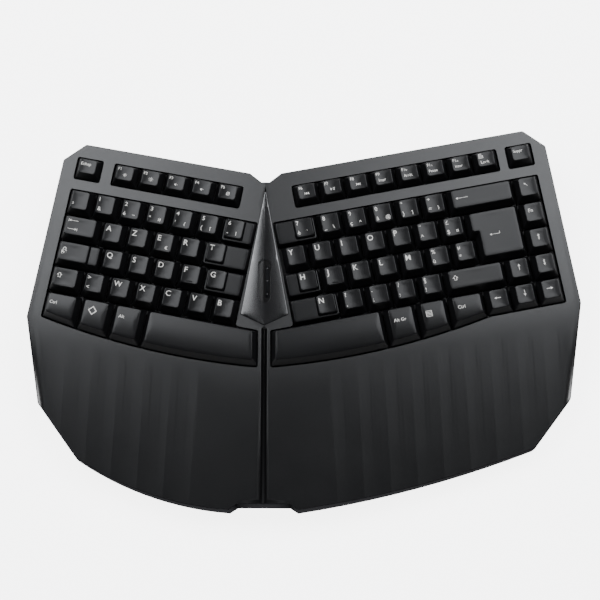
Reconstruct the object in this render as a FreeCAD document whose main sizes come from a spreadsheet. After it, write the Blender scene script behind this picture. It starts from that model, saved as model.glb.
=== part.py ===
import FreeCAD, Part
import math
import os
import Sketcher
from FreeCAD import Placement, Rotation, Vector

# Split ergonomic keyboard, in millimetres, +Z up and +Y to the rear. The two key
# fields are mirror twins about a ridge: each is turned by the splay, falls outward
# by the tent and rises to the rear by the tilt. In a key field, x runs along the
# rows, y runs to the rear and z = 0 is the plane of the key tops.

doc = FreeCAD.newDocument("Keyboard")
sheet = doc.addObject("Spreadsheet::Sheet", "Sizes")

SIZES = [
    ("splay", 11.5, "turn of each key field about the vertical, degrees"),
    ("tent", 4.0, "fall of each key field towards its outer side, degrees"),
    ("tilt", 4.0, "rise of the key fields to the rear, degrees"),
    ("key_top_height", 45.0, "height of the key tops on the ridge"),
    ("key_pitch", 19.05, "from one key to the next"),
    ("function_depth", 16.2, "depth of a function key's cell"),
    ("inner_edge", 19.6, "inner edge of both main wells"),
    ("left_room", 0.6875, "from that edge to the left half's last letter cell"),
    ("right_room", 2.175, "from that edge to the right half's first letter cell"),
    ("left_origin", "=-inner_edge - left_room - 7.25 * key_pitch", "outer edge of the left key field"),
    ("right_origin", "=inner_edge + right_room - 6.5 * key_pitch", "where the right field counts from"),
    ("field_rear", 69.5, "rear edge of the number row"),
    ("function_gap", 7.8, "from the number row's cells to the function row's"),
    ("function_rear", "=field_rear + function_gap + function_depth", "rear edge of the function row"),
    ("space_rear", "=field_rear - 4 * key_pitch", "rear edge of the bottom row"),
    ("space_gap", 4.7, "from the ridge to the space bars' wells"),
    ("front_arc_radius", 560.0, "curve of the wells' front edge"),
    ("front_arc_middle", 56.0, "where that curve comes furthest forward"),
    ("front_room", 9.85, "bottom row deeper than a key cell there"),
    ("front_arc_reach", "=key_pitch + front_room - space_rear", "how far forward that curve comes"),
    ("well_margin", 0.2, "well edge outside the key cells"),
    ("well_radius", 1.6, "corners of the wells"),
    ("well_wall", 1.5, "wall round each well, under the deck"),
    ("deck_drop", 5.5, "deck below the key tops"),
    ("cap_height", 6.5, "height of a keycap"),
    ("cap_gap", 0.45, "keycap inside its cell"),
    ("cap_side_slope", 2.95, "how far a cap's sides lean in"),
    ("cap_rear_slope", 1.3, "how far a cap's rear leans in"),
    ("cap_front_slope", 3.7, "how far a cap's front leans in"),
    ("cap_wall", 1.3, "wall of a keycap"),
    ("cap_roof", 1.6, "top of a keycap"),
    ("step_drop", 2.2, "lower step of an extended cap"),
    ("key_travel", 3.2, "travel of a key"),
    ("stem_radius", 2.6, "stem under a keycap"),
    ("stem_length", 13.7, "stem's end below the key tops"),
    ("stem_play", 0.2, "stem in its guide tube"),
    ("tube_wall", 1.4, "wall of a guide tube"),
    ("tube_rise", 2.0, "guide tube above the key plate"),
    ("tube_drop", 2.4, "guide tube below the key plate"),
    ("plate_drop", 10.0, "key plate's top below the key tops"),
    ("plate_thickness", 2.0, "key plate"),
    ("plate_margin", 2.2, "key plate and back plate beyond the wells"),
    ("sheet_margin", 1.5, "dome sheet and membrane beyond the wells"),
    ("dome_sheet_drop", 17.0, "top of the dome sheet's web"),
    ("dome_sheet_thickness", 0.5, "web of the dome sheet"),
    ("dome_radius", 4.6, "foot of a rubber dome"),
    ("dome_crown_radius", 2.4, "crown of a rubber dome"),
    ("dome_gap", 0.1, "between a stem and its dome"),
    ("dome_wall", 0.6, "wall of a rubber dome"),
    ("membrane_thickness", 0.4, "contact membrane"),
    ("back_plate_thickness", 0.8, "metal back plate"),
    ("stack_gap", 0.05, "between the sheets of the stack"),
    ("tail_width", 16.0, "membrane's tail"),
    ("tail_middle", 30.0, "membrane's tail along the row"),
    ("left_margin", 9.8, "housing beyond the left key field, along the rows"),
    ("right_margin", 9.82, "housing beyond the right key field, along the rows"),
    ("left_side_reach", "=left_margin - left_origin", "housing's left side from the ridge"),
    ("right_side_reach", "=right_origin + 16.6 * key_pitch + right_margin", "housing's right side"),
    ("rear_margin", 11.1, "housing behind the function row"),
    ("rear_reach", "=function_rear + rear_margin", "housing's rear edge, across the rows"),
    ("corner_cut", 14.0, "cut rear corners"),
    ("wrist_room", 0.75, "from the key rows' front to the wrist corners"),
    ("wrist_corner", "=key_pitch - space_rear + wrist_room", "where the sides turn to the palm rests"),
    ("left_palm_in", 6.8, "left palm rest's side, inward of the housing's side"),
    ("left_palm_down", 26.9, "left palm rest's side, forward of the wrist corner"),
    ("left_front_in", 34.7, "left front corner, inward of the housing's side"),
    ("left_front_down", 65.5, "left front corner, forward of the wrist corner"),
    ("left_curve_in", 87.9, "middle of the left front curve, inward"),
    ("left_curve_down", 92.0, "middle of the left front curve, forward"),
    ("right_palm_in", 7.1, "right palm rest's side, inward of the housing's side"),
    ("right_palm_down", 22.2, "right palm rest's side, forward of the wrist corner"),
    ("right_front_in", 33.3, "right front corner, inward of the housing's side"),
    ("right_front_down", 57.8, "right front corner, forward of the wrist corner"),
    ("right_curve_in", 111.3, "middle of the right front curve, inward"),
    ("right_curve_down", 84.0, "middle of the right front curve, forward"),
    ("palm_length", 103.4, "palm rests, forward of the wrist corners"),
    ("front_reach", "=wrist_corner + palm_length", "furthest front points"),
    ("front_notch_half", 18.4, "half width of the front notch"),
    ("front_notch_depth", 3.7, "depth of the front notch"),
    ("front_notch_slope", 5.6, "run of the front notch's ends"),
    ("rear_notch_half", 2.8, "half width of the rear notch's floor"),
    ("rear_notch_slope", 8.4, "run of the rear notch's ends"),
    ("rear_notch_depth", 2.4, "floor of the rear notch, forward of the rear edge's reach"),
    ("side_corner_radius", 2.5, "upright corners of the housing"),
    ("front_corner_radius", 9.0, "upright front corners of the housing"),
    ("palm_gap", 2.4, "from the wells' front to the palm rests"),
    ("palm_start", "=front_arc_reach + palm_gap", "palm rests begin, across the rows"),
    ("palm_fall", 5.0, "palm rests fall more than the deck, degrees"),
    ("pleat_pitch", 18.8, "from one pleat of the palm rests to the next"),
    ("pleat_first", 47.0, "first pleat from the ridge"),
    ("pleat_depth", 1.5, "depth of a pleat at the front edge"),
    ("pleat_flare", 3.0, "pleats open outward to the front, degrees"),
    ("bevel_width", 5.0, "side bevel of the palm rests"),
    ("bevel_drop", 4.5, "fall of the side bevel"),
    ("groove_width", 3.0, "groove between the palm rests"),
    ("groove_depth", 1.3, "depth of that groove"),
    ("wall", 2.4, "wall of the housing"),
    ("parting_height", 7.0, "parting line of the housing"),
    ("parting_gap", 0.3, "gap at the parting line"),
    ("foot_height", 2.0, "underside above the desk"),
    ("floor_thickness", 2.2, "floor of the bottom cover"),
    ("lip_height", 2.4, "lip of the bottom cover inside the top cover"),
    ("lip_thickness", 1.3, "that lip's wall"),
    ("lip_play", 0.2, "lip inside the top cover's wall"),
    ("fascia_tip", 99.0, "fascia's rear tip from the field origin"),
    ("fascia_side_x", 17.0, "fascia's side corners from the ridge"),
    ("fascia_side_y", 6.2, "fascia's side corners, rearward"),
    ("fascia_front", -2.0, "fascia's front point"),
    ("fascia_proud", 0.3, "fascia above the deck"),
    ("fascia_recess", 1.3, "recess under the fascia"),
    ("fascia_play", 0.15, "fascia in its recess"),
    ("fascia_backing", 4.4, "deck's thickness under the fascia"),
    ("window_width", 8.4, "indicator window"),
    ("window_length", 30.8, "indicator window"),
    ("window_middle", 30.0, "indicator window's middle, rearward"),
    ("window_recess", 0.5, "window below the fascia"),
    ("window_play", 0.1, "window in the fascia"),
    ("light_pitch", 9.0, "from one indicator light to the next"),
    ("light_size", 3.0, "indicator light"),
    ("light_play", 0.3, "lights in the window's slot"),
    ("bay_width", 34.0, "battery bay, front to rear"),
    ("bay_middle", 45.0, "battery bay's middle, rearward"),
    ("bay_wall", 1.5, "battery bay's walls"),
    ("cell_radius", 7.1, "battery cell"),
    ("cell_length", 49.2, "battery cell without its nub"),
    ("nub_radius", 2.7, "battery cell's nub"),
    ("nub_length", 1.3, "battery cell's nub"),
    ("cell_pitch", 16.0, "from one cell to the other"),
    ("cell_play", 0.25, "cells above the door and under the bay's roof"),
    ("contact_thickness", 0.5, "contact plates"),
    ("contact_room", 3.95, "from a cell's end to the bay's wall"),
    ("door_thickness", 1.6, "battery door"),
    ("door_ledge", 3.0, "battery door beyond the bay"),
    ("door_play", 0.2, "battery door in its recess"),
    ("door_travel", 4.0, "battery door's slide"),
    ("board_length", 84.0, "controller board"),
    ("board_width", 34.0, "controller board"),
    ("board_middle", -62.0, "controller board's middle, rearward"),
    ("board_height", 10.0, "controller board's underside"),
    ("board_thickness", 1.6, "controller board"),
    ("post_radius", 3.0, "posts under the controller board"),
    ("pin_radius", 1.2, "heat stakes through the controller board"),
    ("pin_play", 0.1, "heat stakes in their holes"),
    ("switch_x", 48.0, "power switch from the ridge"),
    ("switch_travel", 2.5, "power switch's slide"),
    ("switch_play", 0.2, "power switch in its slot"),
    ("flip_width", 30.0, "flip foot"),
    ("flip_length", 22.0, "flip foot from its pin"),
    ("flip_thickness", 5.0, "flip foot"),
    ("flip_pin_radius", 1.2, "flip foot's pin"),
    ("flip_pin_length", 2.2, "flip foot's pin beyond its side"),
    ("flip_play", 0.06, "flip foot's pin in its hole"),
    ("flip_side_play", 0.3, "flip foot beside its pocket"),
    ("flip_left_x", -105.0, "left flip foot from the ridge"),
    ("flip_right_x", 160.0, "right flip foot from the ridge"),
    ("flip_pin_y", 115.5, "flip feet's pins, rearward"),
    ("pad_length", 24.0, "rubber foot"),
    ("pad_width", 8.0, "rubber foot"),
    ("pad_sink", 0.6, "rubber foot in its recess"),
    ("pad_play", 0.1, "rubber foot in its recess, sideways"),
    ("screw_radius", 1.5, "case screws"),
    ("screw_head_radius", 2.8, "case screws' heads"),
    ("screw_head_height", 1.8, "case screws' heads"),
    ("screw_length", 9.5, "case screws' shanks"),
    ("screw_play", 0.1, "screws in their holes"),
    ("boss_radius", 2.6, "bosses for the case screws"),
    ("stack_screw_radius", 1.1, "plate screws"),
    ("stack_head_radius", 2.2, "plate screws' heads"),
    ("stack_head_height", 1.3, "plate screws' heads"),
    ("stack_screw_length", 5.0, "plate screws' shanks"),
    ("stack_boss_radius", 2.6, "bosses and posts for the plate screws"),
    ("wire_radius", 0.6, "stabiliser wire"),
    ("wire_span", 60.0, "stabiliser wire between its arms"),
    ("wire_arm", 9.0, "arm of the stabiliser wire"),
    ("wire_front", 27.0, "stabiliser wire's bar, across the rows"),
    ("wire_play", 0.1, "stabiliser wire in its clips"),
    ("lug_play", 0.2, "stabiliser wire in the space bar's lugs"),
    ("lug_thickness", 1.5, "space bar's lugs"),
]

for row, (alias, value, note) in enumerate(SIZES, start=1):
    sheet.set(f"A{row}", alias)
    sheet.set(f"B{row}", str(value))
    sheet.set(f"C{row}", note)
    sheet.setAlias(f"B{row}", alias)
doc.recompute()


def size(alias):
    return float(sheet.get(alias))


LEFT = -1
RIGHT = 1
SIDE_NAME = {LEFT: "left", RIGHT: "right"}
BIG = 700.0
UP = Vector(0, 0, 1)
SPLAY = math.radians(size("splay"))
COS_SPLAY = math.cos(SPLAY)
SIN_SPLAY = math.sin(SPLAY)
NODES = {}


# Adds a shape as a document object of its own.
def feature(name, shape, placement=None):
    item = doc.addObject("Part::Feature", name)
    item.Shape = shape
    if placement is not None:
        item.Placement = placement
    return item


def node(name, item):
    item.Label = name
    NODES[name] = item
    return item


def bind(item, **expressions):
    for key, expression in expressions.items():
        item.setExpression(key, expression)
    return item


def box(name, **expressions):
    return bind(doc.addObject("Part::Box", name), **expressions)


def cylinder(name, **expressions):
    return bind(doc.addObject("Part::Cylinder", name), **expressions)


def fuse(name, items):
    item = doc.addObject("Part::MultiFuse", name)
    item.Shapes = items
    return item


def cut(name, base, tool):
    item = doc.addObject("Part::Cut", name)
    item.Base = base
    item.Tool = tool
    return item


def compound(name, items):
    item = doc.addObject("Part::Compound", name)
    item.Links = items
    return item


# Plan positions. rel gives a point of one half from the ridge origin, for a place
# given along (out) and across (back) the rows of that half.
def rel(side, out, back):
    x = side * (out * COS_SPLAY - back * SIN_SPLAY)
    return Vector(x, out * SIN_SPLAY + back * COS_SPLAY, 0)


# Point at distance x from the ridge on the line back = constant of one half.
def rel_at(side, x, back):
    out = (x + back * SIN_SPLAY) / COS_SPLAY
    return rel(side, out, back)


# Point of a palm rest's edge, by its room inward and forward of the wrist corner.
def palm_point(side, place):
    half = SIDE_NAME[side]
    x = size(f"{half}_side_reach") - size(f"{half}_{place}_in")
    return Vector(side * x, -size("wrist_corner") - size(f"{half}_{place}_down"), 0)


# Half outline of the housing, from the rear notch round to the front notch.
def half_corners(side):
    half = SIDE_NAME[side]
    reach = size(f"{half}_side_reach")
    rear = size("rear_reach")
    notch = size("rear_notch_half")
    return [
        Vector(side * notch, rear - size("rear_notch_depth"), 0),
        rel_at(side, notch + size("rear_notch_slope"), rear),
        rel(side, reach - size("corner_cut"), rear),
        rel(side, reach, rear - size("corner_cut")),
        rel(side, reach, -size("wrist_corner")),
        palm_point(side, "palm"),
        palm_point(side, "front"),
    ]


def half_front(side):
    notch = size("front_notch_half")
    floor = size("front_reach") - size("front_notch_depth")
    return [
        palm_point(side, "curve"),
        Vector(side * (notch + size("front_notch_slope")), -size("front_reach"), 0),
        Vector(side * notch, -floor, 0),
    ]


# The ridge origin lies where the whole outline is centred on the part's own origin.
EXTENT = half_corners(LEFT) + half_corners(RIGHT) + half_front(LEFT) + half_front(RIGHT)
RIDGE_X = -(min(p.x for p in EXTENT) + max(p.x for p in EXTENT)) / 2
RIDGE_Y = -(min(p.y for p in EXTENT) + max(p.y for p in EXTENT)) / 2
ORIGIN = Vector(RIDGE_X, RIDGE_Y, 0)


def field_placement(side):
    turn = Rotation(Vector(1, 0, 0), size("tilt"))
    turn = turn * Rotation(UP, side * size("splay"))
    turn = turn * Rotation(Vector(0, 1, 0), side * size("tent"))
    return Placement(ORIGIN + UP * size("key_top_height"), turn)


FIELD = {LEFT: field_placement(LEFT), RIGHT: field_placement(RIGHT)}


def palm_placement(side):
    start = Vector(0, -size("palm_start"), -size("deck_drop"))
    return FIELD[side] * Placement(start, Rotation(Vector(1, 0, 0), size("palm_fall")))


PALM = {LEFT: palm_placement(LEFT), RIGHT: palm_placement(RIGHT)}


# Height of a plane, given by its placement, over a plan point.
def plane_height(place, x, y):
    normal = place.Rotation.multVec(UP)
    base = place.Base
    return base.z - (normal.x * (x - base.x) + normal.y * (y - base.y)) / normal.z


# Everything below a plane, as one large block.
def half_space(place, drop=0.0):
    block = Part.makeBox(BIG, BIG, BIG, Vector(-BIG / 2, -BIG / 2, -BIG - drop))
    block.Placement = place
    return block


def polygon_wire(points):
    return Part.makePolygon(list(points) + [points[0]])


def prism(points, low, high):
    moved = [Vector(p.x, p.y, low) for p in points]
    return Part.Face(polygon_wire(moved)).extrude(UP * (high - low))


# A closed solid between two polygons with as many corners, all its sides flat.
def prismatoid(base, top):
    count = len(base)
    faces = [Part.Face(polygon_wire(base)), Part.Face(polygon_wire(top))]
    for i in range(count):
        j = (i + 1) % count
        faces.append(Part.Face(polygon_wire([base[i], base[j], top[j], top[i]])))
    solid = Part.Solid(Part.makeShell(faces))
    if solid.Volume < 0:
        solid.reverse()
    return solid


def upright_edges(shape, wanted):
    found = []
    for edge in shape.Edges:
        ends = [v.Point for v in edge.Vertexes]
        if len(ends) == 2 and abs(ends[0].x - ends[1].x) + abs(ends[0].y - ends[1].y) < 1e-6:
            if wanted(ends[0]):
                found.append(edge)
    return found


# The footprint of the whole housing, with its upright corners rounded.
def footprint():
    edges = []
    right = half_corners(RIGHT)
    left = half_corners(LEFT)
    loop = list(reversed(left)) + right
    for start, end in zip(loop, loop[1:]):
        edges.append(Part.LineSegment(start, end).toShape())
    for side, corners in ((RIGHT, right), (LEFT, left)):
        middle, end, notch = half_front(side)
        edges.append(Part.Arc(corners[-1], middle, end).toShape())
        edges.append(Part.LineSegment(end, notch).toShape())
    edges.append(Part.LineSegment(half_front(LEFT)[-1], half_front(RIGHT)[-1]).toShape())
    wire = Part.Wire(Part.__sortEdges__(edges))
    wire.translate(ORIGIN)
    block = Part.Face(wire).extrude(UP)
    front_corners = [half_corners(side)[-1] + ORIGIN for side in (LEFT, RIGHT)]

    def is_front(point):
        return any(math.hypot(point.x - c.x, point.y - c.y) < 1e-3 for c in front_corners)

    def is_side(point):
        return abs(point.x - RIDGE_X) > size("left_side_reach") / 2 and not is_front(point)

    block = block.makeFillet(size("front_corner_radius"), upright_edges(block, is_front))
    block = block.makeFillet(size("side_corner_radius"), upright_edges(block, is_side))
    bottom = [f for f in block.Faces if f.normalAt(0, 0).z < -0.99]
    return bottom[0].OuterWire


FOOTPRINT = footprint()


def footprint_block(inset, low, high):
    wire = FOOTPRINT if inset == 0 else FOOTPRINT.makeOffset2D(-inset)
    face = Part.Face(wire)
    face.translate(UP * low)
    return face.extrude(UP * (high - low))


# The block under the roof of the two decks and the two palm rests.
def under_roof(block, drop):
    for side in (LEFT, RIGHT):
        block = block.common(half_space(FIELD[side], size("deck_drop") + drop))
        block = block.common(half_space(PALM[side], drop))
    return block


# Side bevel of a palm rest: a plane from the wrist corner to the palm's side.
def bevel_space(side, drop):
    corners = [c + ORIGIN for c in half_corners(side)]
    wrist = corners[4]
    palm = corners[5]
    inner = Vector(palm.x - side * size("bevel_width"), palm.y, 0)
    wrist.z = plane_height(FIELD[side], wrist.x, wrist.y) - size("deck_drop")
    palm.z = plane_height(PALM[side], palm.x, palm.y) - size("bevel_drop")
    inner.z = plane_height(PALM[side], inner.x, inner.y)
    normal = (inner - wrist).cross(palm - wrist)
    if normal.z < 0:
        normal = -normal
    return half_space(Placement(wrist, Rotation(UP, normal)), drop)


def housing_block(inset, drop, low):
    block = under_roof(footprint_block(inset, low, BIG / 7), drop)
    for side in (LEFT, RIGHT):
        block = block.common(bevel_space(side, drop))
    return block


# One pleat: a shallow wedge taken off the palm rest, nothing at the rear and the
# full depth at the front edge.
def pleat(side, index):
    first = side * (size("pleat_first") + index * size("pleat_pitch"))
    step = abs(size("pleat_pitch"))
    rear = rel_at(side, abs(first), -size("palm_start")) + ORIGIN
    front_y = RIDGE_Y - size("front_reach") - size("wall")
    flare = side * math.tan(math.radians(size("pleat_flare"))) * (rear.y - front_y)
    near = Vector(rear.x + flare, front_y, 0)
    far = Vector(near.x + step, front_y, 0)
    rear_point = Vector(rear.x, rear.y, 0)
    for point in (rear_point, near, far):
        point.z = plane_height(PALM[side], point.x, point.y)
    low = near - UP * size("pleat_depth")
    lift = UP * size("wall")
    return prismatoid([rear_point, low, far], [rear_point + lift, near + lift, far + lift])


def pleats():
    cutters = []
    for side in (LEFT, RIGHT):
        room = abs(palm_point(side, "palm").x) - size("bevel_width") - size("pleat_first")
        for index in range(int(room / size("pleat_pitch")) + 1):
            cutters.append(pleat(side, index))
    return cutters


# Wells. cell_x is where unit column a of a key field begins.
def cell_x(side, column):
    return size(f"{SIDE_NAME[side]}_origin") + column * size("key_pitch")


LAST_COLUMN = 16.6
ARROW_COLUMN = 13.6
DELETE_COLUMN = 15.6
FUNCTION_START = {LEFT: 1.45, RIGHT: 7.37}
FUNCTION_END = {LEFT: 6.45, RIGHT: 15.25}
FUNCTION_PITCH = {LEFT: 1.0, RIGHT: 0.985}
ROWS = 5


def front_arc(x, side):
    out = side * x - size("front_arc_middle")
    radius = size("front_arc_radius")
    return radius - math.sqrt(radius ** 2 - out ** 2) - size("front_arc_reach")


# Inner edge of a space bar's well, which runs straight to the rear.
def space_edge(side, y, gap):
    return side * (gap + y * SIN_SPLAY) / COS_SPLAY


# Where that edge meets the front curve.
def space_corner(side, gap):
    near = space_edge(side, -size("front_arc_reach"), gap)
    y = front_arc(near, side)
    return Vector(space_edge(side, y, gap), y, 0)


def main_well_wire(side, grow):
    rear = size("field_rear") + size("well_margin")
    inner = side * size("inner_edge")
    gap = size("space_gap")
    space_rear = size("space_rear") + size("well_margin")
    low_inner = space_corner(side, gap)
    points = [Vector(inner, rear, 0)]
    if side == RIGHT:
        outer = cell_x(RIGHT, LAST_COLUMN) + size("well_margin")
        step = cell_x(RIGHT, ARROW_COLUMN)
        straight = size("field_rear") - ROWS * size("key_pitch") - size("well_margin")
        points += [Vector(outer, rear, 0), Vector(outer, straight, 0), Vector(step, straight, 0)]
        points.append(Vector(step, front_arc(step, side), 0))
    else:
        outer = cell_x(LEFT, 0) - size("well_margin")
        points += [Vector(outer, rear, 0), Vector(outer, front_arc(outer, side), 0)]
    middle_x = (points[-1].x + low_inner.x) / 2
    middle = Vector(middle_x, front_arc(middle_x, side), 0)
    edges = [Part.LineSegment(a, b).toShape() for a, b in zip(points, points[1:])]
    edges.append(Part.Arc(points[-1], middle, low_inner).toShape())
    back = [
        low_inner,
        Vector(space_edge(side, space_rear, gap), space_rear, 0),
        Vector(inner, space_rear, 0),
        points[0],
    ]
    edges += [Part.LineSegment(a, b).toShape() for a, b in zip(back, back[1:])]
    wire = Part.Wire(edges)
    return wire if grow == 0 else wire.makeOffset2D(grow)


# Low and high x of a rectangular well on the function row.
def function_wells(side):
    margin = size("well_margin")
    strip = (cell_x(side, FUNCTION_START[side]), cell_x(side, FUNCTION_END[side]))
    single = 0 if side == LEFT else DELETE_COLUMN
    spans = [strip, (cell_x(side, single), cell_x(side, single + 1))]
    return [(low - margin, high + margin) for low, high in spans]


# The small step beside the arrow keys stays sharp.
def is_well_corner(point):
    return abs(point.x - cell_x(RIGHT, ARROW_COLUMN)) > size("well_radius") or point.y > 0


def wells(side, grow, low, high, rounded=True):
    face = Part.Face(main_well_wire(side, grow))
    face.translate(UP * low)
    solids = [face.extrude(UP * (high - low))]
    rear = size("function_rear") + size("well_margin")
    front = rear - size("function_depth") - 2 * size("well_margin")
    for start, end in function_wells(side):
        corner = Vector(start - grow, front - grow, low)
        width = end - start + 2 * grow
        solids.append(Part.makeBox(width, rear - front + 2 * grow, high - low, corner))
    if rounded:
        solids = [s.makeFillet(size("well_radius"), upright_edges(s, is_well_corner)) for s in solids]
    for solid in solids:
        solid.Placement = FIELD[side]
    return solids


# Outline shared by the plates and sheets of one half: the wells and what lies
# between them, widened by a margin, which is half as wide round the function row.
def stack_region(side, grow, low, high):
    face = Part.Face(main_well_wire(side, grow))
    face.translate(UP * low)
    region = face.extrude(UP * (high - low))
    spans = function_wells(side)
    start = min(s for s, e in spans) - grow / 2
    end = max(e for s, e in spans) + grow / 2
    front = size("field_rear") - size("key_pitch")
    rear = size("function_rear") + size("well_margin") + grow / 2
    strip = Part.makeBox(end - start, rear - front, high - low, Vector(start, front, low))
    return region.fuse(strip).removeSplitter()


# Screw places in a key field, by unit column. The cover screws hold the key plate to
# the top cover, and the back screws hold the back plate to the key plate.
STRIP_Y = (size("field_rear") + size("function_rear") - size("function_depth")) / 2
TAB_DEPTH = 5.0
COVER_SCREWS = {LEFT: (5.95, 3.28, 0.55), RIGHT: (7.72, 10.4, 13.23, 16.07)}
BACK_SCREWS = {LEFT: (4.64, 1.96), RIGHT: (9.03, 11.76, 14.7)}
COVER_TABS = {LEFT: (5.59, 2.28), RIGHT: (8.09, 11.39, 15.07)}
BACK_TABS = {LEFT: (4.38, 0.97), RIGHT: (9.29, 12.71, 15.86)}


def tab_point(side, column):
    x = cell_x(side, column)
    if side == RIGHT and x > cell_x(RIGHT, ARROW_COLUMN):
        return Vector(x, size("field_rear") - ROWS * size("key_pitch") - TAB_DEPTH, 0)
    return Vector(x, front_arc(x, side) - TAB_DEPTH, 0)


def cover_points(side):
    strip = [Vector(cell_x(side, column), STRIP_Y, 0) for column in COVER_SCREWS[side]]
    return strip + [tab_point(side, column) for column in COVER_TABS[side]]


def back_points(side):
    strip = [Vector(cell_x(side, column), STRIP_Y, 0) for column in BACK_SCREWS[side]]
    return strip + [tab_point(side, column) for column in BACK_TABS[side]]


def rod(point, radius, low, high):
    return Part.makeCylinder(radius, high - low, Vector(point.x, point.y, low))


# Keycaps. KEYS holds for each key: node, side, first and last column, row and
# number of rows; the function row is row 0.
KEYS = []


def add_key(node_name, side, start, end, row, rows=1, form="plain"):
    KEYS.append((node_name, side, start, end, row, rows, form))


def add_row(node_name, side, start, count, row, pitch=1.0, width=1.0):
    for index in range(count):
        first = start + index * pitch
        add_key(node_name, side, first, first + width, row)


add_key("escape_key", LEFT, 0, 1, 0)
add_row("left_function_keys", LEFT, FUNCTION_START[LEFT], 5, 0)
add_row("left_number_keys", LEFT, 0, 6, 1)
add_key("left_number_keys", LEFT, 6, 7, 1, form="inner")
add_key("tab_key", LEFT, 0, 1.5, 2)
add_row("left_upper_keys", LEFT, 1.5, 4, 2)
add_key("left_upper_keys", LEFT, 5.5, 6.5, 2, form="inner")
add_key("caps_lock_key", LEFT, 0, 1.75, 3, form="stepped")
add_row("left_home_keys", LEFT, 1.75, 4, 3)
add_key("left_home_keys", LEFT, 5.75, 6.75, 3, form="inner")
add_key("left_shift_key", LEFT, 0, 1.25, 4)
add_row("left_lower_keys", LEFT, 1.25, 5, 4)
add_key("left_lower_keys", LEFT, 6.25, 7.25, 4)
add_row("right_function_keys", RIGHT, FUNCTION_START[RIGHT], 8, 0, FUNCTION_PITCH[RIGHT], 0.985)
add_key("delete_key", RIGHT, DELETE_COLUMN, LAST_COLUMN, 0)
add_key("right_number_keys", RIGHT, 7, 8, 1, form="inner")
add_row("right_number_keys", RIGHT, 8, 5, 1)
add_key("backspace_key", RIGHT, 13, DELETE_COLUMN, 1)
add_key("home_key", RIGHT, DELETE_COLUMN, LAST_COLUMN, 1)
add_row("right_upper_keys", RIGHT, 6.5, 7, 2)
add_key("enter_key", RIGHT, 13.75, DELETE_COLUMN, 2, rows=2, form="enter")
add_key("fn_key", RIGHT, DELETE_COLUMN, LAST_COLUMN, 2)
add_key("right_home_keys", RIGHT, 6.75, 7.75, 3, form="inner")
add_row("right_home_keys", RIGHT, 7.75, 6, 3)
add_key("page_up_key", RIGHT, DELETE_COLUMN, LAST_COLUMN, 3)
add_key("right_lower_keys", RIGHT, 7.25, 8.25, 4, form="inner")
add_row("right_lower_keys", RIGHT, 8.25, 4, 4)
add_key("right_shift_key", RIGHT, 12.25, 14.6, 4)
add_key("up_key", RIGHT, 14.6, DELETE_COLUMN, 4)
add_key("page_down_key", RIGHT, DELETE_COLUMN, LAST_COLUMN, 4)
add_key("left_arrow_key", RIGHT, ARROW_COLUMN, 14.6, 5)
add_key("down_key", RIGHT, 14.6, DELETE_COLUMN, 5)
add_key("right_arrow_key", RIGHT, DELETE_COLUMN, LAST_COLUMN, 5)

# Bottom row: node, side, first and last column. None stands for the slanted inner
# edge of a space bar.
SPACE_COLUMN = {LEFT: 3.9, RIGHT: 9.76}
BOTTOM_KEYS = [
    ("left_control_key", LEFT, 0, 1.4),
    ("meta_key", LEFT, 1.4, 2.65),
    ("alt_key", LEFT, 2.65, SPACE_COLUMN[LEFT]),
    ("left_space_key", LEFT, SPACE_COLUMN[LEFT], None),
    ("right_space_key", RIGHT, None, SPACE_COLUMN[RIGHT]),
    ("alt_graph_key", RIGHT, SPACE_COLUMN[RIGHT], 11.0),
    ("menu_key", RIGHT, 11.0, 12.2),
    ("right_control_key", RIGHT, 12.2, ARROW_COLUMN),
]


# Rear and front edge of a row, as expressions of the sheet.
def row_span(row, rows):
    if row == 0:
        return "Sizes.function_rear", "Sizes.function_rear - Sizes.function_depth"
    rear = f"Sizes.field_rear - {row - 1} * Sizes.key_pitch"
    return rear, f"Sizes.field_rear - {row - 1 + rows} * Sizes.key_pitch"


# Turns a wedge, whose height runs along its own Y, upright in the key field.
STAND = Placement(Vector(0, 0, 0), Rotation(Vector(1, 0, 0), 90))


# A four-sided block with leaning sides, all its places as expressions.
def wedge(name, side, low_x, high_x, rear, front, bottom, top, slopes):
    left_slope, right_slope, rear_slope, front_slope = slopes
    item = doc.addObject("Part::Wedge", name)
    item.Placement = FIELD[side] * STAND
    return bind(
        item,
        Xmax=high_x,
        Xmin=low_x,
        X2max=f"{high_x} - ({right_slope})",
        X2min=f"{low_x} + ({left_slope})",
        Zmax=f"-({front})",
        Zmin=f"-({rear})",
        Z2max=f"-({front}) - ({front_slope})",
        Z2min=f"-({rear}) + ({rear_slope})",
        Ymax=top,
        Ymin=bottom,
    )


SLOPES = (
    "Sizes.cap_side_slope", "Sizes.cap_side_slope",
    "Sizes.cap_rear_slope", "Sizes.cap_front_slope",
)
LEDGE_SLOPES = ("Sizes.cap_rear_slope",) * 4


# The outer block and the hollow of one keycap block.
def cap_blocks(name, side, low_x, high_x, rear, front, drop="0", slopes=SLOPES):
    outer = wedge(
        f"{name}_outer", side, low_x, high_x, rear, front,
        "-Sizes.cap_height", f"-({drop})", slopes,
    )
    hollow = wedge(
        f"{name}_hollow", side,
        f"{low_x} + Sizes.cap_wall", f"{high_x} - Sizes.cap_wall",
        f"{rear} - Sizes.cap_wall", f"{front} + Sizes.cap_wall",
        "-Sizes.cap_height", f"-({drop}) - Sizes.cap_roof", slopes,
    )
    return outer, hollow


# A stem under a cap, at a place given by expressions.
def stem(name, side, x, y):
    item = cylinder(name, Radius="Sizes.stem_radius", Height="Sizes.stem_length - Sizes.cap_roof / 2")
    place = FIELD[side] * Placement(Vector(x, y, -size("stem_length")), Rotation())
    item.Placement = place
    return item


STEMS = {LEFT: [], RIGHT: []}


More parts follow.
